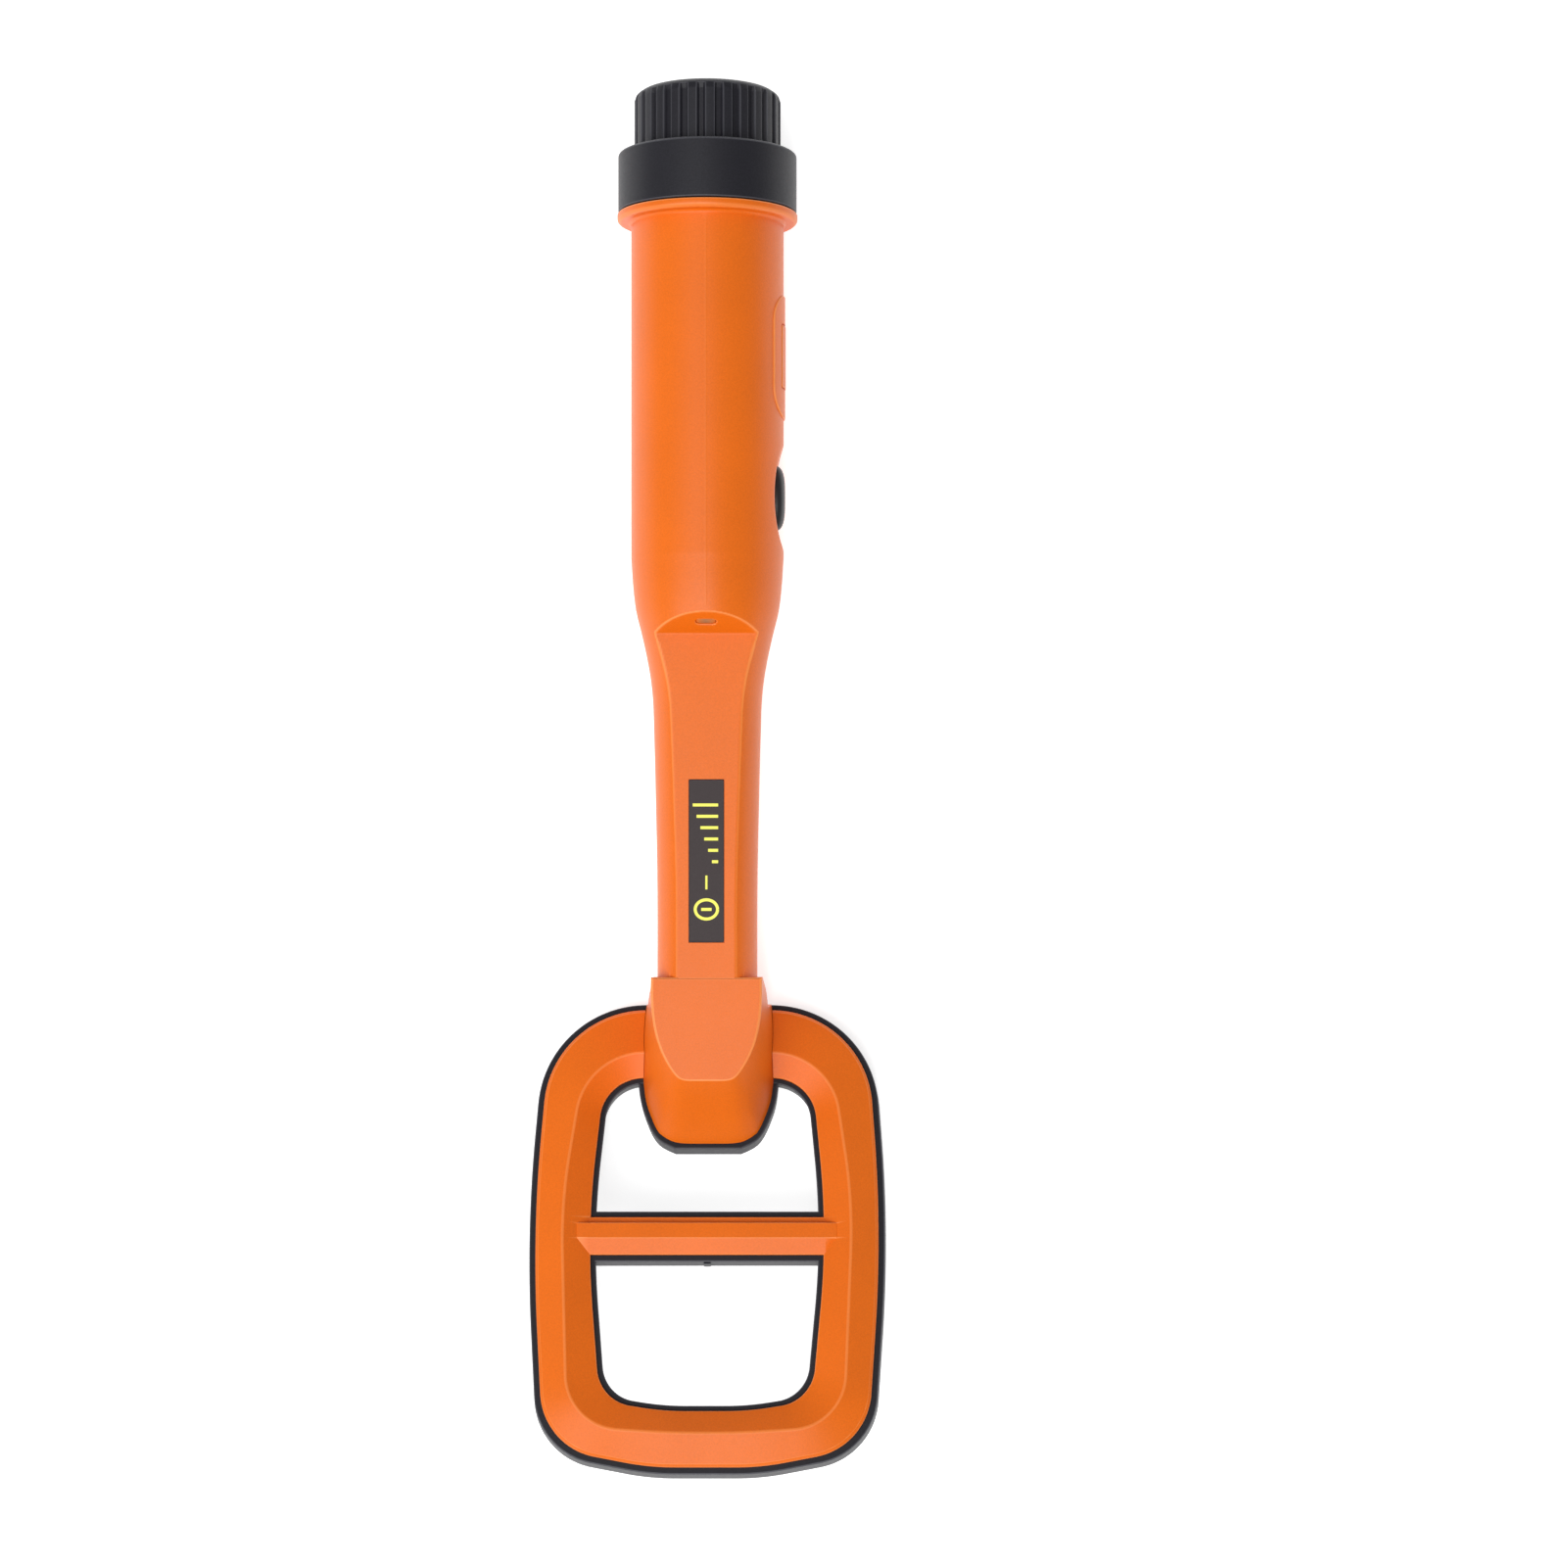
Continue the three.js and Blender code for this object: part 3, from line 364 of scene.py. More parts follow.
def helix(name, pitch, start, turns, radius, height, per_turn=72):
    """A screw thread's ridge. A negative height points inwards."""
    rows = []
    steps = round(turns * per_turn)
    for s in range(steps + 1):
        angle = 2 * math.pi * s / per_turn
        grow = height * max(0.15, min(1, 8 * s / steps, 8 * (1 - s / steps)))
        section = rounded_path([(-0.8, 0), (-0.32, grow, 0.15), (0.32, grow, 0.15), (0.8, 0)], 2)
        rows.append([((radius + d) * math.sin(angle), start + pitch * s / per_turn + dy,
                      AXIS_Z + (radius + d) * math.cos(angle)) for dy, d in section])
    return skin(name, rows)


# ---- outlines on the head's plane ----

def on_head(uv, h):
    """Points of the part from [u, v] points on the head's plane, raised to h."""
    uv = np.asarray(uv, float)
    h = np.broadcast_to(h, uv.shape[:-1])
    return np.stack([
        uv[..., 0],
        HEEL_Y - uv[..., 1] * math.cos(HEAD_TILT) + h * math.sin(HEAD_TILT),
        HEEL_Z + uv[..., 1] * math.sin(HEAD_TILT) + h * math.cos(HEAD_TILT),
    ], -1)


def both_halves(half):
    return [*half, *[(-u, v, r) for u, v, r in half[::-1]]]


def inset(corners, distance):
    """The same closed outline, moved in by a distance, or out by a negative one."""
    moved = []
    for k, (u, v, radius) in enumerate(corners):
        corner = Vector((u, v))
        before = (corner - Vector(corners[k - 1][:2])).normalized()
        after = (Vector(corners[(k + 1) % len(corners)][:2]) - corner).normalized()
        inward = Vector((-before.y - after.y, before.x + after.x))
        place = corner + inward * distance / (1 + before.dot(after))
        moved.append((place.x, place.y, max(radius - distance, 0.4)))
    return moved


def outline(corners, spacing=0.6):
    return refined(rounded_path(corners, 24, closed=True), spacing, closed=True)


def nearest_on(line, places):
    """For each place, the closest point of a closed polyline."""
    starts, ends = line, np.roll(line, -1, 0)
    spans = ends - starts
    best = np.empty_like(places)
    for k, place in enumerate(places):
        share = ((place - starts) * spans).sum(1) / np.maximum((spans ** 2).sum(1), 1e-12)
        on_spans = starts + spans * np.clip(share, 0, 1)[:, None]
        best[k] = on_spans[((place - on_spans) ** 2).sum(1).argmin()]
    return best


RIM_OUTLINE = both_halves(RIM)
RIDGE_OUTLINE = both_halves(RIDGE)
WINDOW_OUTLINE = both_halves(WINDOW)
STATIONS = evenly(np.vstack([outline(RIDGE_OUTLINE), outline(RIDGE_OUTLINE)[:1]]), 481)[:-1]


def ring_section(name, corners):
    """A ring on the head's plane, from a section of (outline, inset, h, fillet radius) corners."""
    lines = [on_head(nearest_on(outline(inset(shape, distance)), STATIONS), h)
             for shape, distance, h, _ in corners]
    rows = []
    for k, (_, _, _, radius) in enumerate(corners):
        if radius:
            rows += soften(lines[k - 1], lines[k], lines[(k + 1) % len(lines)], radius)
        else:
            rows.append(lines[k])
    return skin(name, rows, closed=True)


def head_prism(name, uv, low, high, fillet=0.0):
    """A straight-sided block on the head's plane. A fillet rounds its top and bottom edges."""
    uv = np.asarray(uv, float)
    if not fillet:
        return skin(name, [on_head(uv, low), on_head(uv, high)])
    inner = uv - normals_of(uv) * fillet * 1.5
    lines = [on_head(inner, low), on_head(uv, low), on_head(uv, high), on_head(inner, high)]
    rows = [lines[0], *soften(lines[0], lines[1], lines[2], fillet),
            *soften(lines[1], lines[2], lines[3], fillet), lines[3]]
    return skin(name, rows)


def normals_of(uv):
    """Outward unit normals of a closed outline's points, whichever way round it runs."""
    along = np.roll(uv, -1, 0) - np.roll(uv, 1, 0)
    normal = np.stack([along[:, 1], -along[:, 0]], 1)
    normal /= np.maximum(np.linalg.norm(normal, axis=1, keepdims=True), 1e-9)
    area = (uv[:, 0] * np.roll(uv[:, 1], -1) - np.roll(uv[:, 0], -1) * uv[:, 1]).sum()
    return normal if area > 0 else -normal


# ---- boss that joins the neck to the head ----

BOSS_STEPS = 48
BOSS_SIDE = [(14.5, -7.8), (16.6, -1.2), (17.7, 12), (17, 24), (15.2, 30.5), (12.6, 35.4),
             (8.7, 37.8)]


def boss_front():
    """One side of the boss's front face, a single curve from the shoulder to the nose."""
    t = np.linspace(0, 1, BOSS_STEPS + 1)[:, None]
    a, b, c, d = np.array([(BOSS_HALF_WIDTH, SHOULDER_Y), (14.6, -62), (13.8, -70.5),
                           (6.9, BOSS_NOSE_Y)])
    return (1 - t) ** 3 * a + 3 * t * (1 - t) ** 2 * b + 3 * t ** 2 * (1 - t) * c + t ** 3 * d


def boss_base(grow=0.0):
    """One side of the boss's foot on the head's plane, in as many points as boss_front."""
    side = evenly(catmull_rom(BOSS_SIDE, 24), BOSS_STEPS + 1)
    if not grow:
        return side
    whole = np.vstack([side, side[::-1] * (-1, 1)])
    return (whole + normals_of(whole) * grow)[:BOSS_STEPS + 1]


def mirrored(side):
    flip = np.ones(side.shape[-1])
    flip[0] = -1
    return np.vstack([side, side[::-1] * flip])


def boss():
    """The boss, with its front face's edge rounded except where the neck's flat runs into it."""
    edge_radius, shoulder_radius, flush_radius = 0.75, 0.35, 0.02
    front = boss_front()
    shoulder_x = np.array([NECK_FLAT_HALF, NECK_FLAT_HALF + 0.5, 11, 13.6])
    shoulder = np.stack([shoulder_x, np.full(4, SHOULDER_Y)], 1)
    nose_share = np.linspace(1, 0.06, 8)[1:, None]
    side = np.vstack([shoulder, front, front[-1] * np.hstack([nose_share, nose_share ** 0])])
    whole = mirrored(side)
    radius = np.full(len(whole), edge_radius)
    radius[0] = radius[-1] = flush_radius
    radius[1:5] = radius[-5:-1] = shoulder_radius
    inward = -normals_of(whole)
    inward[0] = inward[-1] = (0, -1)
    top = np.column_stack([whole, np.full(len(whole), AXIS_Z + FLAT_Z)])
    inner = top + np.column_stack([inward * 3 * radius[:, None], np.zeros(len(whole))])
    base_side = boss_base()
    first, last = base_side[0], base_side[-1]
    base_half = np.vstack([[(x / BOSS_HALF_WIDTH * first[0], first[1]) for x in shoulder_x],
                           base_side, last * np.hstack([nose_share, nose_share ** 0])])
    base = on_head(mirrored(base_half), SEAM)
    arcs = soften(inner, top, base, radius[:, None], 5)
    rows = list(arcs)
    for share in np.linspace(0.12, 1, 10):
        rows.append(arcs[-1] + (base - arcs[-1]) * share)
    # The nose's upright corners are rounded more and more towards the head.
    rows = np.array(rows)
    corner = len(shoulder) + len(front) - 1
    reach, passes = 4, 7
    near = np.r_[corner - reach:corner + reach + 1]
    near = np.concatenate([near, len(whole) - 1 - near])
    for _ in range(passes):
        rows[:, near] = (rows[:, near - 1] + 2 * rows[:, near] + rows[:, near + 1]) / 4
    body = skin("boss", rows, halves=True)
    under_from, under_to = HEEL_Y + SEAM, SHOULDER_Y + 2
    corners = [(-30, -60), (30, -60), (30, -1), (-30, -1)]
    space = skin("space", [[(x, y, AXIS_Z + z) for x, z in corners]
                           for y in (under_from, under_to)])
    cut(space, rod("collar", BOSS_COLLAR_RADIUS, under_from - 1, under_to + 1, 128))
    return cut(body, space)


# ---- handle ----

def flat_height(y):
    return FLAT_Z + FLAT_RISE * np.maximum(y - SHOULDER_Y, 0)


def soft_min(a, b, width):
    share = np.clip(0.5 + 0.5 * (b - a) / width, 0, 1)
    return b + (a - b) * share - width * share * (1 - share)


def soft_max(a, b, width):
    return -soft_min(-a, -b, width)


def handle_radius(y, radius, angles):
    """The tube's radius, cut by the neck's flat, the step's facet and the button's dish."""
    far = 99  # a radius that cuts nothing
    least_facing = 0.2
    foot = flat_height(STEP_FOOT_Y)
    front = soft_max(flat_height(np.minimum(y, 60)), foot + STEP_SLOPE * (y - STEP_FOOT_Y), 0.35)
    front = np.where(y < SHOULDER_Y - 0.01, FLAT_Z - 1.5, front)
    cosine = np.cos(angles) * np.ones_like(y)
    to_flat = np.where(cosine > least_facing, front / np.maximum(cosine, least_facing), far)
    shaped = soft_min(radius, to_flat, 0.32)
    # The dish is an ellipsoid; a ray from the axis meets its near side at this radius.
    across = np.sin(angles) * np.ones_like(y)
    centre_x = TUBE_RADIUS - DISH_DEPTH + DISH_SEMI[0]
    a = (across / DISH_SEMI[0]) ** 2 + (cosine / DISH_SEMI[2]) ** 2
    b = -2 * across * centre_x / DISH_SEMI[0] ** 2
    c = (centre_x / DISH_SEMI[0]) ** 2 + ((y - BUTTON_Y) / DISH_SEMI[1]) ** 2 - 1
    inside = b * b - 4 * a * c
    hit = (-b - np.sqrt(np.maximum(inside, 0))) / (2 * a)
    dish = np.where((inside > 0) & (across > 0), hit, far)
    shaped = soft_min(shaped, dish, 0.3)
    # A fine mould line runs along the tube's front.
    line_height, line_width, line_from = 0.032, 0.28, 44.5
    turn = np.mod(angles + math.pi, 2 * math.pi) - math.pi
    crown = np.exp(-(turn * TUBE_RADIUS / line_width) ** 2)
    shaped = shaped + line_height * crown * (y > line_from) * (y < SHAPED_TO)
    return np.where(y < SHAPED_TO, shaped, radius)


def handle_angles():
    degrees = np.concatenate([
        np.arange(0, 1.2, 0.3), np.arange(1.2, 52, 0.8), np.arange(52, 128, 1.4),
        np.arange(128, 308, 3), np.arange(308, 358.8, 0.8), np.arange(358.8, 360, 0.3)])
    return np.radians(degrees)


def handle_shell():
    taper = catmull_rom(TAPER, 24)
    stations = np.concatenate([
        [-58, SHOULDER_Y - 0.02, SHOULDER_Y], np.arange(-50, 35.5, 1.5), np.arange(35.5, 45, 0.22),
        np.arange(45, 58, 0.7)])
    outer = np.stack([stations, np.interp(stations, taper[:, 0], taper[:, 1])], 1)
    tube = np.stack([np.concatenate([np.arange(58, 90, 0.6), np.arange(90, 143, 2.5)])] * 2, 1)
    tube[:, 1] = TUBE_RADIUS
    flange = rounded_path([
        (143, TUBE_RADIUS), (FLANGE_FROM, TUBE_RADIUS, 0.9), (FLANGE_FROM, FLANGE_RADIUS, 1.2),
        (FLANGE_TO, FLANGE_RADIUS, 0.45), (FLANGE_TO, SPIGOT_RADIUS, 0.4),
        (SPIGOT_TO, SPIGOT_RADIUS, 0.6), (SPIGOT_TO, BORE_RADIUS, 0.3),
        (54, BORE_RADIUS, 3), (47, 14.5, 3), (40, 9.8, 3), (34, NECK_BORE_RADIUS, 3),
        (-58, NECK_BORE_RADIUS)], 5)
    path = np.vstack([outer, tube, flange])
    inner_from = len(outer) + len(tube) + 8
    angles = handle_angles()
    rows = around(path, angles)
    rows[:inner_from] = around(path[:inner_from], angles, handle_radius)
    return skin("handle_shell", rows, closed=True)


def lamp_frame():
    """The middle of the lamp's window on the step's facet, and the facet's two directions."""
    lean = math.atan(STEP_SLOPE)
    z = AXIS_Z + flat_height(STEP_FOOT_Y) + (LAMP_Y - STEP_FOOT_Y) * STEP_SLOPE
    up_slope = np.array([0, math.cos(lean), math.sin(lean)])
    normal = np.array([0, -math.sin(lean), math.cos(lean)])
    return np.array([0, LAMP_Y, z]), up_slope, normal


def lamp_plug(name, levels):
    """A pill-shaped plug on the step's facet through [grow, height] levels, from the bottom up."""
    middle, up_slope, normal = lamp_frame()
    half = LAMP_LENGTH / 2 - LAMP_WIDTH / 2
    rows = []
    for grow, height in levels:
        radius = max(LAMP_WIDTH / 2 + grow, 0.02)
        pill = []
        for side, start in ((1, -90), (-1, 90)):
            for degree in range(start, start + 181, 15):
                a = math.radians(degree)
                pill.append(middle + (side * half + radius * math.cos(a)) * np.array([1, 0, 0])
                            + radius * math.sin(a) * up_slope + height * normal)
        rows.append(pill)
    return skin(name, rows)


def oval_rows(levels, sides=96):
    """Rows of ovals on the tube's side, from [x, half length, half width] levels."""
    a = even_angles(sides)
    return [np.stack([np.full(sides, x), BUTTON_Y + long * np.cos(a), AXIS_Z + wide * np.sin(a)], 1)
            for x, long, wide in levels]


def side_patch(name, dy, dz, low, high, fillet):
    """A block on the tube's side that follows its curve, between two heights over its surface."""
    edge = np.stack([dy, dz], 1)
    inward = -normals_of(edge)

    def lifted(flat, height):
        x = np.sqrt((TUBE_RADIUS + height) ** 2 - flat[:, 1] ** 2)
        return np.column_stack([x, PAD_Y + flat[:, 0], AXIS_Z + flat[:, 1]])

    rows = [lifted(edge * s, low) for s in (0.02, 0.3, 0.6, 0.85)] + [lifted(edge, low)]
    for k in range(6):
        turn = math.pi / 2 * k / 5
        flat = edge + inward * fillet * (1 - math.cos(turn))
        rows.append(lifted(flat, high - fillet + fillet * math.sin(turn)))
    last = edge + inward * fillet
    rows += [lifted(last * s, high) for s in (0.93, 0.8, 0.62, 0.42, 0.2, 0.02)]
    return skin(name, rows)


def round_box(half, radius, grow=0.0, steps=5):
    """A rounded rectangle's two lists of places, along the tube and round it."""
    long, wide = half[0] + grow, half[1] + grow
    corners = [(a * long, b * wide, radius) for a, b in ((1, 1), (-1, 1), (-1, -1), (1, -1))]
    line = refined(rounded_path(corners, steps, closed=True), 0.8, closed=True)
    return line[:, 0], line[:, 1]


def side_pad():
    """The raised pad beside the button, with its sunk line and rectangular panel."""
    outline = round_box(PAD_HALF, PAD_CORNER, steps=16)
    pad = side_patch("pad", *outline, -0.9, PAD_HEIGHT, 0.28)
    groove = round_box(PANEL_HALF, 0.9, 0.4)
    cut(pad, side_patch("groove", *groove, PAD_HEIGHT - 0.42, PAD_HEIGHT + 1, 0.02))
    return join(pad, side_patch("panel", *round_box(PANEL_HALF, 0.9), -0.5, PANEL_HEIGHT, 0.2))


def handle_moulding():
    body = handle_shell()
    head_end = boss()
    lead_bore = rod("lead_bore", NECK_BORE_RADIUS, -78, -50)
    lead_way = head_prism("lead_way", [(6, 6), (6, 19), (-6, 19), (-6, 6)], -1, 9)
    cut(head_end, lead_bore, lead_way)
    join(body, head_end, side_pad())
    join(body, helix("thread", THREAD_PITCH, THREAD_FROM, THREAD_TURNS,
                     SPIGOT_RADIUS - 0.2, THREAD_HEIGHT + 0.2))
    ends = [LABEL_Y - LABEL_LENGTH / 2 - SEAM, LABEL_Y + LABEL_LENGTH / 2 + SEAM]
    floor = [AXIS_Z + flat_height(y) - LABEL_DEPTH for y in ends]
    seat = across_block("seat", [(ends[0], floor[0]), (ends[1], floor[1]),
                                 (ends[1], AXIS_Z + 20), (ends[0], AXIS_Z + 20)],
                        LABEL_WIDTH / 2 + SEAM)
    lamp_hole = lamp_plug("lamp_hole", [(SEAM, -9), (SEAM, -0.25), (SEAM + 0.9, 0.65)])
    button_hole = skin("hole", oval_rows([
        (8, BUTTON_HALF_LENGTH + 0.35, BUTTON_HALF_WIDTH + 0.35),
        (30, BUTTON_HALF_LENGTH + 0.35, BUTTON_HALF_WIDTH + 0.35)]))
    cut(body, seat, lamp_hole, button_hole)
    smooth(body, 28)
    return body


# ---- head ----

def loop_cover():
    edge = LIP_WIDTH
    cover = ring_section("loop_cover", [
        (RIM_OUTLINE, edge, SEAM, 0),
        (RIM_OUTLINE, edge, 0.95, 0.25),
        (RIM_OUTLINE, edge + 0.75, 1.5, 0.5),
        (RIDGE_OUTLINE, 0, RIDGE_HEIGHT, 1.1),
        (WINDOW_OUTLINE, 0, 1.1, 0.35),
        (WINDOW_OUTLINE, 0, SEAM, 0),
        (WINDOW_OUTLINE, -COVER_WALL, SEAM, 0),
        (RIDGE_OUTLINE, 0, RIDGE_HEIGHT - COVER_WALL, 0.5),
        (RIM_OUTLINE, edge + COVER_WALL, SEAM, 0),
    ])
    upper = [(BAR_FROM, SEAM), (BAR_FROM, 1.3, 0.3), (BAR_FROM + 1.4, 1.3, 0.2),
             (BAR_FROM + 1.75, BAR_HEIGHT, 0.3), (BAR_FROM + 5.7, BAR_HEIGHT, 0.5)]
    rows = []
    ends = [(31, BAR_TO), (33.8, BAR_TO - 2.8), (34.2, BAR_TO - 3.2)]
    for u, lower_edge in [(-u, edge_v) for u, edge_v in ends[::-1]] + ends:
        shrink = 0.25 if abs(u) > 34 else 0
        corners = [*[(a, b - (shrink if b > 2 else 0), *r) for a, b, *r in upper],
                   (lower_edge, 1.1, 0.3), (lower_edge, SEAM)]
        section = rounded_path(corners, 3)
        rows.append(on_head(np.stack([np.full(len(section), u), section[:, 0]], 1), section[:, 1]))
    bar = skin("cover_bar", rows)
    join(cover, bar)
    side = boss_base(SEAM)
    front = boss_front() + np.array([SEAM, 0])
    low = on_head(mirrored(side), -1.5)
    lip = on_head(mirrored(side), SEAM)
    high = mirrored(np.column_stack([front, np.full(len(front), AXIS_Z + FLAT_Z)]))
    tool = skin("boss_space", [low, lip, high], halves=True)
    cut(cover, tool)
    smooth(cover, 32)
    return cover


def loop_tray():
    channel_floor = TRAY_FLOOR - TRAY_HEIGHT
    channel_from, channel_to = LIP_WIDTH + TRAY_WALLS[0], INNER_LIP - TRAY_WALLS[1]
    tray = ring_section("loop_tray", [
        (RIM_OUTLINE, 0, 0, 0.4),
        (RIM_OUTLINE, -TRAY_FLARE, -TRAY_HEIGHT, FOOT_CHAMFER),
        (WINDOW_OUTLINE, INNER_LIP - INNER_DRAFT, -TRAY_HEIGHT, 0.5),
        (WINDOW_OUTLINE, INNER_LIP, 0, 0.35),
        (WINDOW_OUTLINE, channel_to, 0, 0),
        (WINDOW_OUTLINE, channel_to, channel_floor, 0),
        (RIM_OUTLINE, channel_from, channel_floor, 0),
        (RIM_OUTLINE, channel_from, 0, 0),
    ])
    v0, v1 = BAR_FROM - LIP_WIDTH, BAR_TO + LIP_WIDTH
    section = rounded_path([(v0, -TRAY_HEIGHT + 0.02, 0.5), (v1, -TRAY_HEIGHT + 0.02, 0.5),
                            (v1, -0.02, 0.35), (v0, -0.02, 0.35)], 4, closed=True)
    bar = skin("tray_bar", [
        on_head(np.stack([np.full(len(section), u), section[:, 0]], 1), section[:, 1])
        for u in (-32.4, 32.4)])
    side = boss_base(1.4)
    tongue_from = 21.2
    side = side[side[:, 1] > tongue_from]
    side = np.vstack([[side[0, 0], tongue_from], side])
    tongue = head_prism("tongue", mirrored(side), 0.04 - TRAY_HEIGHT, -0.04, 0.4)
    gate = head_prism("gate", [(0.9, v1 - 0.4), (0.9, v1 + 0.45), (-0.9, v1 + 0.45),
                               (-0.9, v1 - 0.4)], -6, -0.9)
    cut(tray, across_block("under_bar", [(-90, -8), (-40, -8), (-40, HEEL_BAR_HEIGHT),
                                         (-90, HEEL_BAR_HEIGHT)], 60))
    heel = on_head(np.array([(0, 0)]), -TRAY_HEIGHT)[0][1] - 0.1
    profile = rounded_path([(heel, HEEL_BAR_TOP), (heel, 0, 0.25), (heel - HEEL_BAR_WIDTH, 0, 0.25),
                            (heel - HEEL_BAR_WIDTH, HEEL_BAR_TOP)])
    heel_bar = across_block("heel_bar", profile, HEEL_BAR_HALF)
    join(tray, bar, tongue, gate, heel_bar)
    smooth(tray, 32)
    return tray


# ---- battery cap ----

def knurled_cap():
    per_rib = 16
    angles = even_angles(KNOB_RIBS * per_rib)

    def ribbed(y, radius, angle):
        phase = np.mod(angle * KNOB_RIBS / (2 * math.pi), 1)
        depth = soft_max(0, soft_min(1.0, 9 * (0.25 - np.abs(phase - 0.75)), 0.15), 0.15)
        fade = (np.clip((CAP_TO - 1.4 - y) / 0.35, 0, 1)
                * np.clip((y - COLLAR_TO + 0.8) / 0.2, 0, 1))
        on_knob = (radius > CROWN_RADIUS) & (radius < KNOB_RADIUS + 0.3)
        return radius - np.where(on_knob, RIB_DEPTH * depth * fade, 0)

    inner = KNOB_RADIUS - RIB_DEPTH - CAP_WALL
    crown_from = CAP_TO - CROWN_HEIGHT
    knob_y = [COLLAR_TO + 0.25, COLLAR_TO + 1, COLLAR_TO + 6, crown_from - 1.6,
              *np.arange(crown_from - 0.6, crown_from + 0.1, 0.09)]
    path = np.vstack([
        [(CAP_TO - 0.45, 0.01)],
        rounded_path([(CAP_TO - 0.45, 6), (CAP_TO - 0.45, 15.2, 0.4), (CAP_TO, 15.8, 0.3),
                      (CAP_TO, CROWN_RADIUS, 0.9), (CAP_TO - 1, KNOB_RADIUS - 0.5, 1.4),
                      (crown_from + 0.25, KNOB_RADIUS)], 5),
        [(y, KNOB_RADIUS) for y in knob_y[::-1]],
        rounded_path([(COLLAR_TO, KNOB_RADIUS), (COLLAR_TO, COLLAR_RADIUS, 0.8),
                      (CAP_FROM, COLLAR_RADIUS, 0.4), (CAP_FROM, CAP_BORE_RADIUS, 0.3),
                      (SPIGOT_TO + 0.5, CAP_BORE_RADIUS, 0.2), (SPIGOT_TO + 0.5, inner, 0.2),
                      (CAP_TO - CAP_WALL, inner, 0.5), (CAP_TO - CAP_WALL, 5)], 5),
        [(CAP_TO - CAP_WALL, 0.01)],
    ])
    cap = skin("knurled_cap", around(path, angles, ribbed))
    join(cap, helix("cap_thread", THREAD_PITCH, THREAD_FROM + THREAD_PITCH / 2, THREAD_TURNS - 0.5,
                    CAP_BORE_RADIUS + 0.3, -THREAD_HEIGHT - 0.2))
    smooth(cap, 30)
    return cap


# ---- button, label, lamp ----

def oval_button():
    inner = 14.9
    long, wide = BUTTON_HALF_LENGTH, BUTTON_HALF_WIDTH
    rise = 2.3
    levels = [(inner, 0.05, 0.03), (inner, long + 0.9, wide + 0.7),
              (inner + 0.15, long + 1.1, wide + 0.9), (inner + 0.85, long + 1.1, wide + 0.9),
              (inner + 1, long + 0.9, wide + 0.7), (inner + 1, long + 0.1, wide + 0.1),
              (inner + 1.2, long, wide)]
    for turn in np.linspace(0, 0.985, 22) * math.pi / 2:
        levels.append((BUTTON_TOP_X - rise + rise * math.sin(turn),
                       long * math.cos(turn) ** 0.55, wide * math.cos(turn) ** 0.62))
    levels.append((BUTTON_TOP_X, 0.05, 0.03))
    button = skin("oval_button", oval_rows(levels))
    corners = [(-1.5, -1.5), (1.5, -1.5), (1.5, 1.5), (-1.5, 1.5)]
    post = skin("post", [[(x, BUTTON_Y + a, AXIS_Z + b) for a, b in corners]
                         for x in (inner - 1.6, inner + 0.4)])
    join(button, post)
    smooth(button, 40)
    return button


def label_lift(x, y, height):
    return (x, y, AXIS_Z + flat_height(y) + height)


def label_plate():
    """A dark plate with a fine raised border, let into the neck's flat."""
    long, wide = LABEL_LENGTH / 2, LABEL_WIDTH / 2

    def loop(margin, height, radius):
        corners = [(wide - margin, LABEL_Y + long - margin, radius),
                   (margin - wide, LABEL_Y + long - margin, radius),
                   (margin - wide, LABEL_Y - long + margin, radius),
                   (wide - margin, LABEL_Y - long + margin, radius)]
        line = rounded_path(corners, 4, closed=True)
        return [label_lift(x, y, height) for x, y in line]

    rows = [loop(0, 0.3 - LABEL_DEPTH, 0.35), loop(0, -0.12, 0.35), loop(0.06, -0.04, 0.33),
            loop(0.16, -0.02, 0.3), loop(0.34, -0.02, 0.25), loop(0.42, -0.07, 0.22)]
    plate = skin("label_plate_face", rows)
    smooth(plate, 40)
    return plate


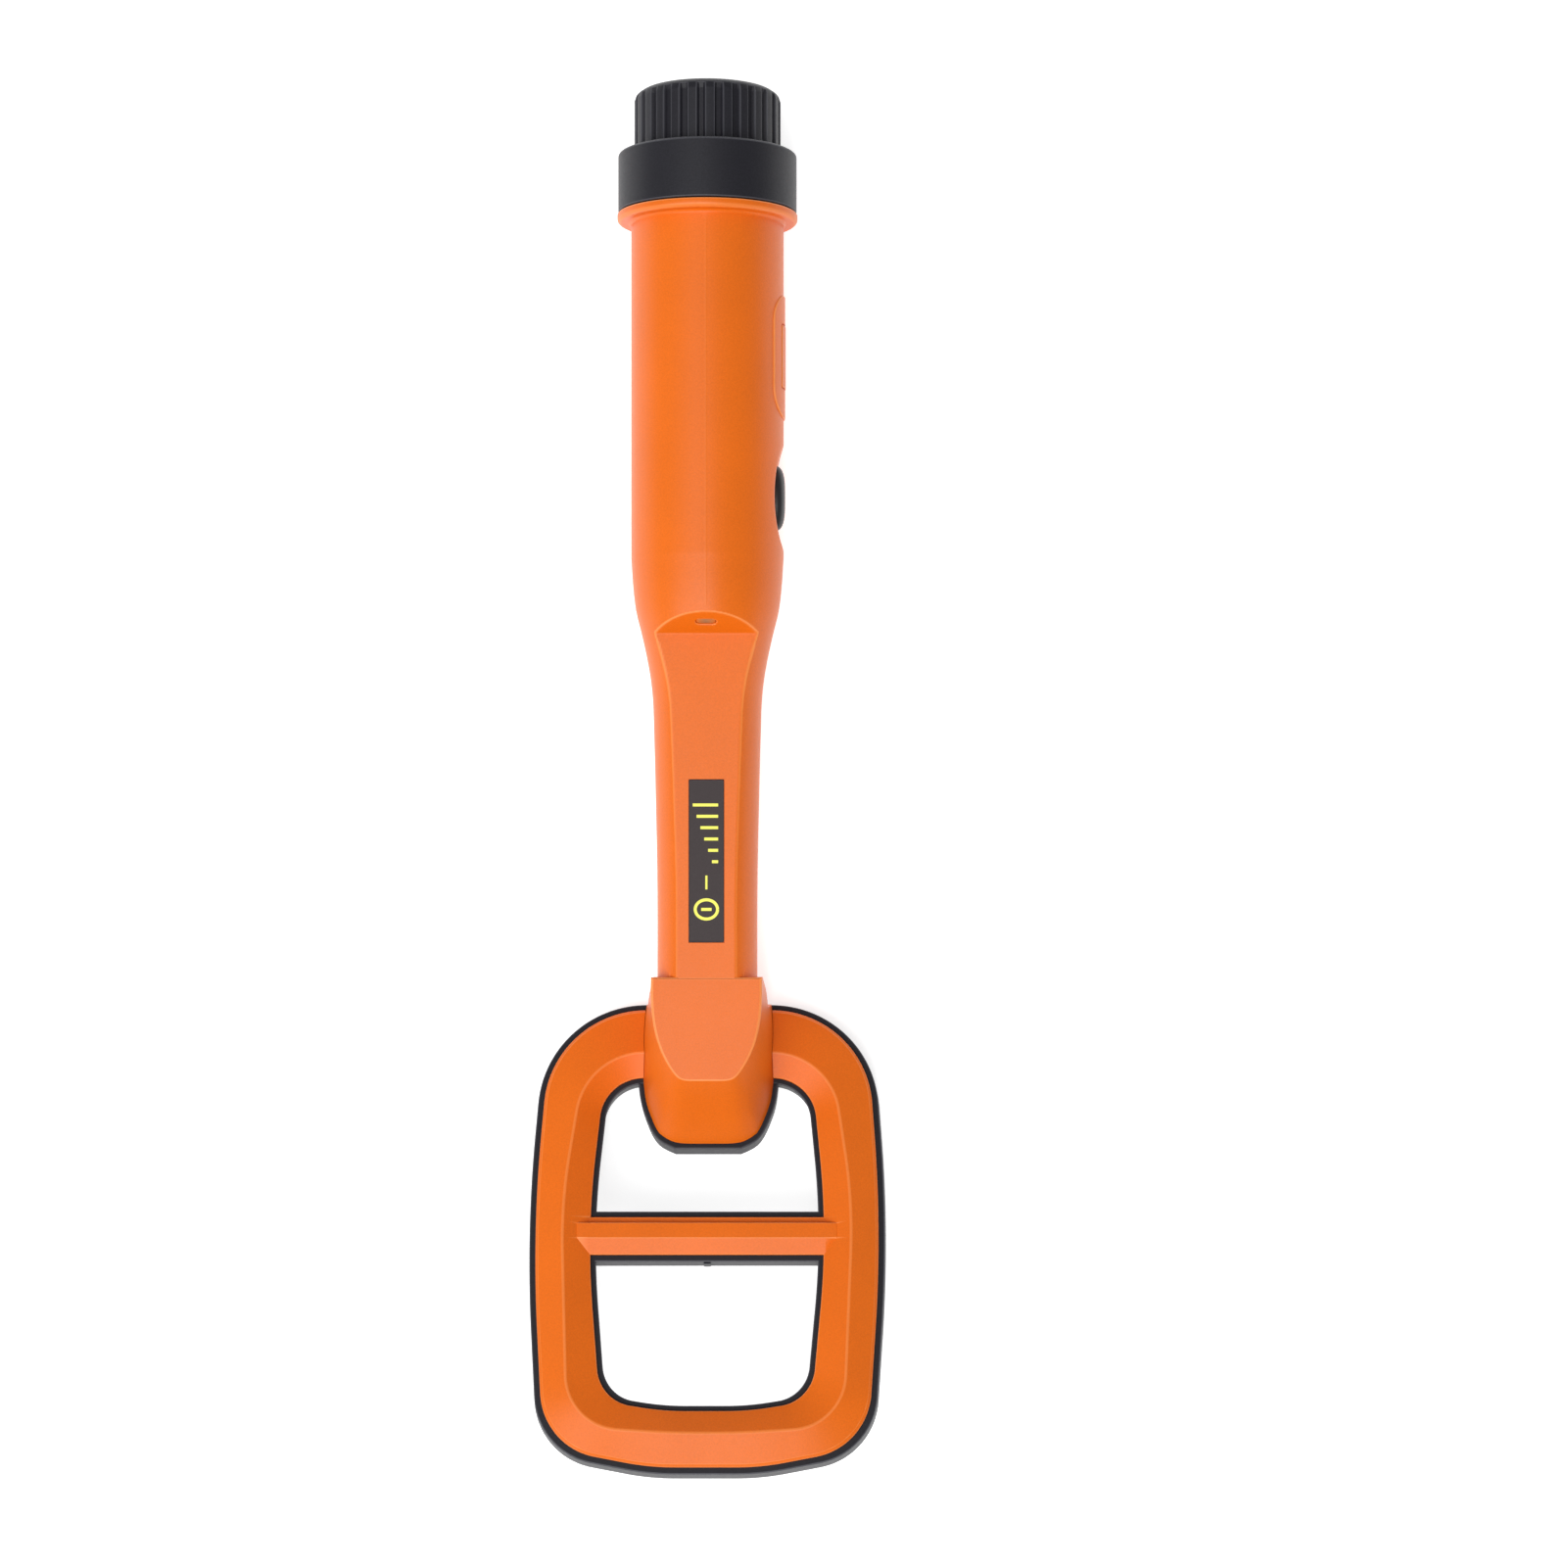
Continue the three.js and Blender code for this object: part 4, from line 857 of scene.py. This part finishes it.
def label_marks():
    """Generic yellow marks printed on the plate: a loop, a dash and a rising signal scale."""
    points, faces = [], []
    thick = 0.05
    base = -0.075

    def stroke(line, width):
        """A raised flat stroke along a line of (x, y) points, with square ends."""
        line = np.asarray(line, float)
        along = np.gradient(line, axis=0)
        along /= np.linalg.norm(along, axis=1, keepdims=True)
        side = np.stack([-along[:, 1], along[:, 0]], 1) * width / 2
        first = len(points)
        for (x, y), (sx, sy) in zip(line, side):
            points.extend([label_lift(x - sx, y - sy, base), label_lift(x + sx, y + sy, base),
                           label_lift(x + sx, y + sy, base + thick),
                           label_lift(x - sx, y - sy, base + thick)])
        for k in range(len(line) - 1):
            here, there = first + 4 * k, first + 4 * k + 4
            for s in range(4):
                faces.append((here + s, here + (s + 1) % 4, there + (s + 1) % 4, there + s))
        last = first + 4 * (len(line) - 1)
        faces.append((first, first + 3, first + 2, first + 1))
        faces.append((last, last + 1, last + 2, last + 3))

    width, thin_width = 0.78, 0.55
    middle = LABEL_Y - 12.6
    turn = np.linspace(0, 2 * math.pi * 0.999, 49)
    stroke(np.stack([2.9 * np.cos(turn), middle + 2.5 * np.sin(turn)], 1), width)
    stroke(np.stack([np.linspace(-1.35, 1.35, 3), np.full(3, middle)], 1), width)
    stroke([(0, LABEL_Y - 7.4), (0, LABEL_Y - 5.6), (0, LABEL_Y - 3.8)], thin_width)
    scale_from, scale_step, scale_foot = LABEL_Y - 0.2, 2.95, 3.05
    for k in range(6):
        y = scale_from + scale_step * k
        reach = 1.6 + 1.0 * k
        stroke([(scale_foot, y), (scale_foot - reach / 2, y), (scale_foot - reach, y)], width)
    marks = piece("label_marks", points, faces)
    smooth(marks, 40, weighted=False)
    return marks


def lamp_window():
    lens = lamp_plug("lamp_window_lens", [
        (-0.9, -2.2), (0, -2.2), (0, -0.42), (-0.05, -0.34), (-0.15, -0.29), (-0.4, -0.22),
        (-0.7, -0.18), (-0.95, -0.17)])
    smooth(lens, 50)
    return lens


# ---- materials ----

class Nodes:
    """A material's node tree, with short calls to add and link nodes."""

    def __init__(self, name):
        self.material = bpy.data.materials.new(name)
        self.material.use_nodes = True
        self.tree = self.material.node_tree
        self.shader = self.tree.nodes["Principled BSDF"]
        self.place = self.add("ShaderNodeTexCoord").outputs["Object"]

    def add(self, kind, **settings):
        node = self.tree.nodes.new(kind)
        for name, value in settings.items():
            setattr(node, name, value)
        return node

    def link(self, source, target):
        self.tree.links.new(source, target)

    def noise(self, size_mm, detail=2.0, roughness=0.5, stretch=None):
        node = self.add("ShaderNodeTexNoise")
        node.inputs["Scale"].default_value = 1 / (size_mm * MM)
        node.inputs["Detail"].default_value = detail
        node.inputs["Roughness"].default_value = roughness
        place = self.place
        if stretch:
            mapping = self.add("ShaderNodeMapping")
            mapping.inputs["Scale"].default_value = stretch
            self.link(place, mapping.inputs["Vector"])
            place = mapping.outputs["Vector"]
        self.link(place, node.inputs["Vector"])
        return node.outputs["Fac"]

    def ramp(self, source, stops):
        node = self.add("ShaderNodeValToRGB")
        while len(node.color_ramp.elements) < len(stops):
            node.color_ramp.elements.new(0.5)
        for element, (position, color) in zip(node.color_ramp.elements, stops):
            element.position = position
            element.color = (*color, 1)
        self.link(source, node.inputs["Fac"])
        return node.outputs["Color"]

    def mix(self, factor, a, b, blend="MIX"):
        node = self.add("ShaderNodeMix", data_type="RGBA", blend_type=blend)
        for value, socket in ((factor, node.inputs[0]), (a, node.inputs[6]), (b, node.inputs[7])):
            if isinstance(value, (int, float)):
                socket.default_value = value
            elif isinstance(value, tuple):
                socket.default_value = (*value, 1)
            else:
                self.link(value, socket)
        return node.outputs[2]

    def span(self, source, low, high):
        node = self.add("ShaderNodeMapRange")
        node.inputs["To Min"].default_value = low
        node.inputs["To Max"].default_value = high
        self.link(source, node.inputs["Value"])
        return node.outputs["Result"]

    def painted_highlight(self, most):
        """How strongly an edge's painted highlight shows, from the piece's own marks on its edges.
        """
        marks = self.add("ShaderNodeAttribute", attribute_name=PAINTED_EDGE_HIGHLIGHT)
        return self.span(marks.outputs["Fac"], 0, most)

    def bump(self, source, height_mm):
        node = self.add("ShaderNodeBump")
        node.inputs["Strength"].default_value = 1
        node.inputs["Distance"].default_value = height_mm * MM
        self.link(source, node.inputs["Height"])
        return node.outputs["Normal"]


def shade(color, factor):
    return tuple(min(1.0, max(0.0, c * factor)) for c in color)


def moulded(name, color, rough, grain_mm=0.42, grain_height=0.03, speck=0.05, cloud=0.05,
            specular=0.5, edge=None):
    """Moulded plastic: spark-eroded grain, a slight mottle in the colour and in the gloss.

    An edge colour is a painted highlight, laid on the part's narrow outward fillets.
    """
    n = Nodes(name)
    grain = n.noise(grain_mm, 3, 0.62)
    clouds = n.noise(19, 2, 0.5)
    specks = n.ramp(grain, [(0.32, shade(color, 1 - speck)), (0.5, color),
                            (0.68, shade(color, 1 + speck))])
    drift = n.ramp(clouds, [(0.3, (1 - cloud,) * 3), (0.7, (1, 1, 1))])
    tone = n.mix(1.0, specks, drift, "MULTIPLY")
    # Painted highlight: the colour is lightened towards the edge colour on the marked fillets.
    if edge:
        tone = n.mix(n.painted_highlight(0.6), tone, edge)
    n.link(tone, n.shader.inputs["Base Color"])
    n.link(n.span(n.noise(grain_mm * 2.2, 2), rough - 0.05, rough + 0.05),
           n.shader.inputs["Roughness"])
    n.shader.inputs["Specular IOR Level"].default_value = specular
    n.link(n.bump(grain, grain_height), n.shader.inputs["Normal"])
    return n.material


def metal(name, color, rough):
    """Bare metal with fine brushed streaks."""
    n = Nodes(name)
    streaks = n.noise(0.5, 3, 0.6, stretch=(1, 1, 14))
    n.link(n.ramp(streaks, [(0.3, shade(color, 0.88)), (0.7, shade(color, 1.06))]),
           n.shader.inputs["Base Color"])
    n.link(n.span(streaks, rough - 0.06, rough + 0.08), n.shader.inputs["Roughness"])
    n.link(n.bump(streaks, 0.01), n.shader.inputs["Normal"])
    n.shader.inputs["Metallic"].default_value = 1
    return n.material


def board(name):
    """Green solder mask over copper tracks."""
    n = Nodes(name)
    tracks = n.add("ShaderNodeTexBrick")
    tracks.inputs["Scale"].default_value = 1 / (4 * MM)
    tracks.inputs["Mortar Size"].default_value = 0.06
    tracks.inputs["Color1"].default_value = (0.015, 0.12, 0.045, 1)
    tracks.inputs["Color2"].default_value = (0.02, 0.14, 0.055, 1)
    tracks.inputs["Mortar"].default_value = (0.05, 0.22, 0.08, 1)
    n.link(n.place, tracks.inputs["Vector"])
    n.link(tracks.outputs["Color"], n.shader.inputs["Base Color"])
    n.link(n.bump(tracks.outputs["Fac"], 0.03), n.shader.inputs["Normal"])
    n.link(n.span(n.noise(1.5), 0.28, 0.42), n.shader.inputs["Roughness"])
    return n.material


def wound_copper(name):
    """Enamelled wire, wound turn by turn."""
    n = Nodes(name)
    turns = n.noise(0.35, 2, 0.5, stretch=(0.15, 0.15, 2.2))
    n.link(n.ramp(turns, [(0.35, (0.3, 0.1, 0.035)), (0.65, (0.78, 0.34, 0.15))]),
           n.shader.inputs["Base Color"])
    n.link(n.bump(turns, 0.05), n.shader.inputs["Normal"])
    n.link(n.span(turns, 0.3, 0.45), n.shader.inputs["Roughness"])
    n.shader.inputs["Metallic"].default_value = 0.85
    return n.material


def smoked_lens(name):
    """A brownish lens, more orange towards its rim."""
    n = Nodes(name)
    middle = Vector(lamp_frame()[0]) + Vector((0, CENTRING, 0))
    scale = 1 / (2.5 * MM)
    mapping = n.add("ShaderNodeMapping", vector_type="POINT")
    mapping.inputs["Location"].default_value = tuple(-middle * MM * scale)
    mapping.inputs["Scale"].default_value = (scale, scale, scale)
    n.link(n.place, mapping.inputs["Vector"])
    spot = n.add("ShaderNodeTexGradient", gradient_type="SPHERICAL")
    n.link(mapping.outputs["Vector"], spot.inputs["Vector"])
    tone = n.ramp(spot.outputs["Color"], [(0.0, (0.7, 0.16, 0.015)), (0.5, (0.5, 0.17, 0.05)),
                                          (1.0, (0.36, 0.17, 0.08))])
    haze = n.noise(0.4, 2)
    n.link(n.mix(n.span(haze, 0, 0.2), tone, (0.3, 0.16, 0.09)), n.shader.inputs["Base Color"])
    n.link(n.span(haze, 0.4, 0.5), n.shader.inputs["Roughness"])
    n.shader.inputs["Specular IOR Level"].default_value = 0.25
    return n.material


ORANGE = (0.8, 0.148, 0.003)
BLACK = (0.0125, 0.0122, 0.0175)

# The edge colours are painted highlights, a pale orange and a lighter grey, on narrow fillets.
materials = {
    "orange_plastic": moulded("orange_grained", ORANGE, 0.4, speck=0.06, cloud=0.05, specular=0.32,
                              edge=(1.0, 0.36, 0.11)),
    "black_plastic": moulded("black_grained", BLACK, 0.48, speck=0.2, cloud=0.1, specular=0.3,
                             edge=(0.1, 0.1, 0.115)),
    "rubber": moulded("black_rubber", (0.012, 0.012, 0.015), 0.42, 0.3, 0.015, 0.15, 0.1),
    "label": moulded("label_foil", (0.04, 0.028, 0.029), 0.55, 0.25, 0.01, 0.12, 0.06,
                     specular=0.3),
    "smoked_lens": smoked_lens("smoked_window"),
    "led_epoxy": moulded("clear_epoxy", (0.85, 0.86, 0.8), 0.12, 1.2, 0.004, 0.03, 0.03),
    "board_green": board("solder_mask"),
    "chip_black": moulded("moulded_epoxy", (0.012, 0.012, 0.014), 0.5, 0.2, 0.01, 0.2, 0.1),
    "capacitor_sleeve": moulded("blue_sleeve", (0.02, 0.035, 0.13), 0.3, 1.0, 0.01, 0.1, 0.1),
    "white_plastic": moulded("natural_nylon", (0.78, 0.75, 0.66), 0.45, 0.5, 0.01, 0.03, 0.05),
    "cell_sleeve": moulded("cell_wrap", (0.28, 0.31, 0.35), 0.25, 1.2, 0.006, 0.05, 0.08),
    "copper": wound_copper("enamelled_copper"),
    "steel": metal("plated_steel", (0.62, 0.62, 0.64), 0.3),
    "brass": metal("stamped_brass", (0.74, 0.54, 0.22), 0.32),
}
yellow_ink = moulded("yellow_ink", (0.95, 0.93, 0.115), 0.5, 0.3, 0.006, 0.04, 0.03)

for part in frame["record"]["subparts"]:
    node = frame["nodes"][part["node"]]
    if node.material_slots:
        for holder in node.material_slots:
            holder.material = materials[part["material_slot"]]
    else:
        node.data.materials.append(materials[part["material_slot"]])


# ---- assembly ----

def dress(obj, slot, body, *nodes, material=None):
    """Gives a piece its material and its body, and hides the CAD nodes that it stands for."""
    obj.data.materials.clear()
    obj.data.materials.append(material or materials[slot])
    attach(obj, body)
    if nodes:
        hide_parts(*nodes)


dress(handle_moulding(), "orange_plastic", "handle", "handle_housing")
dress(loop_cover(), "orange_plastic", "handle", "head_cover")
dress(loop_tray(), "black_plastic", "handle", "head_tray")
dress(knurled_cap(), "black_plastic", "cap", "battery_cap")
dress(oval_button(), "rubber", "button", "power_button")
# Marks the fillets that get the painted edge highlight.
for moulding in ("handle_shell", "loop_cover", "loop_tray", "knurled_cap"):
    mark_painted_highlights(bpy.data.objects[moulding])
dress(label_plate(), "label", "handle", "label_plate")
dress(label_marks(), "label", "handle", material=yellow_ink)
dress(lamp_window(), "smoked_lens", "handle", "lamp_lens")


# ---- floor, light, camera ----

def floor():
    """A plain pale floor, bright enough to stand for a white sweep."""
    mesh = bpy.data.meshes.new("floor")
    half = 3.0
    mesh.from_pydata([(-half, -half, 0), (half, -half, 0), (half, half, 0), (-half, half, 0)],
                     [], [(0, 1, 2, 3)])
    obj = bpy.data.objects.new("floor", mesh)
    bpy.context.scene.collection.objects.link(obj)
    n = Nodes("pale_floor")
    n.link(n.mix(n.noise(300), (0.74, 0.74, 0.74), (0.76, 0.76, 0.76)),
           n.shader.inputs["Base Color"])
    n.shader.inputs["Roughness"].default_value = 0.9
    n.shader.inputs["Specular IOR Level"].default_value = 0.0
    n.shader.inputs["Emission Color"].default_value = (1, 1, 1, 1)
    n.shader.inputs["Emission Strength"].default_value = 0.7
    mesh.materials.append(n.material)


def area_light(name, place, size, power):
    """A soft white lamp, aimed at the middle of the part."""
    light = bpy.data.lights.new(name, "AREA")
    light.shape = "RECTANGLE"
    light.size, light.size_y = size
    light.energy = power
    obj = bpy.data.objects.new(name, light)
    obj.location = place
    obj.rotation_euler = (-Vector(place)).to_track_quat("-Z", "Y").to_euler()
    bpy.context.scene.collection.objects.link(obj)


floor()
area_light("overhead_left", (-1.3, -0.8, 2.7), (1.8, 3.2), 66)
area_light("overhead_strip", (0.02, -1.2, 2.6), (0.4, 2.4), 26)

world = bpy.data.worlds.new("studio")
world.use_nodes = True
world.node_tree.nodes["Background"].inputs["Color"].default_value = (1, 1, 1, 1)
world.node_tree.nodes["Background"].inputs["Strength"].default_value = 0.34
bpy.context.scene.world = world
bpy.context.scene.view_settings.view_transform = "Standard"

# The camera hangs straight over the probe, a little to its right.
FOCAL = 65.2
CAMERA_OVER_AXIS = 749
CAMERA_ASIDE = 20.18
CAMERA_ALONG = -1.5
camera_data = bpy.data.cameras.new("camera")
camera_data.lens = FOCAL
camera_data.sensor_width = 36
camera_data.clip_start = 0.01
camera = bpy.data.objects.new("camera", camera_data)
camera.location = (CAMERA_ASIDE * MM, (CAMERA_ALONG + CENTRING) * MM,
                   (AXIS_Z + CAMERA_OVER_AXIS) * MM)
bpy.context.scene.collection.objects.link(camera)
bpy.context.scene.camera = camera
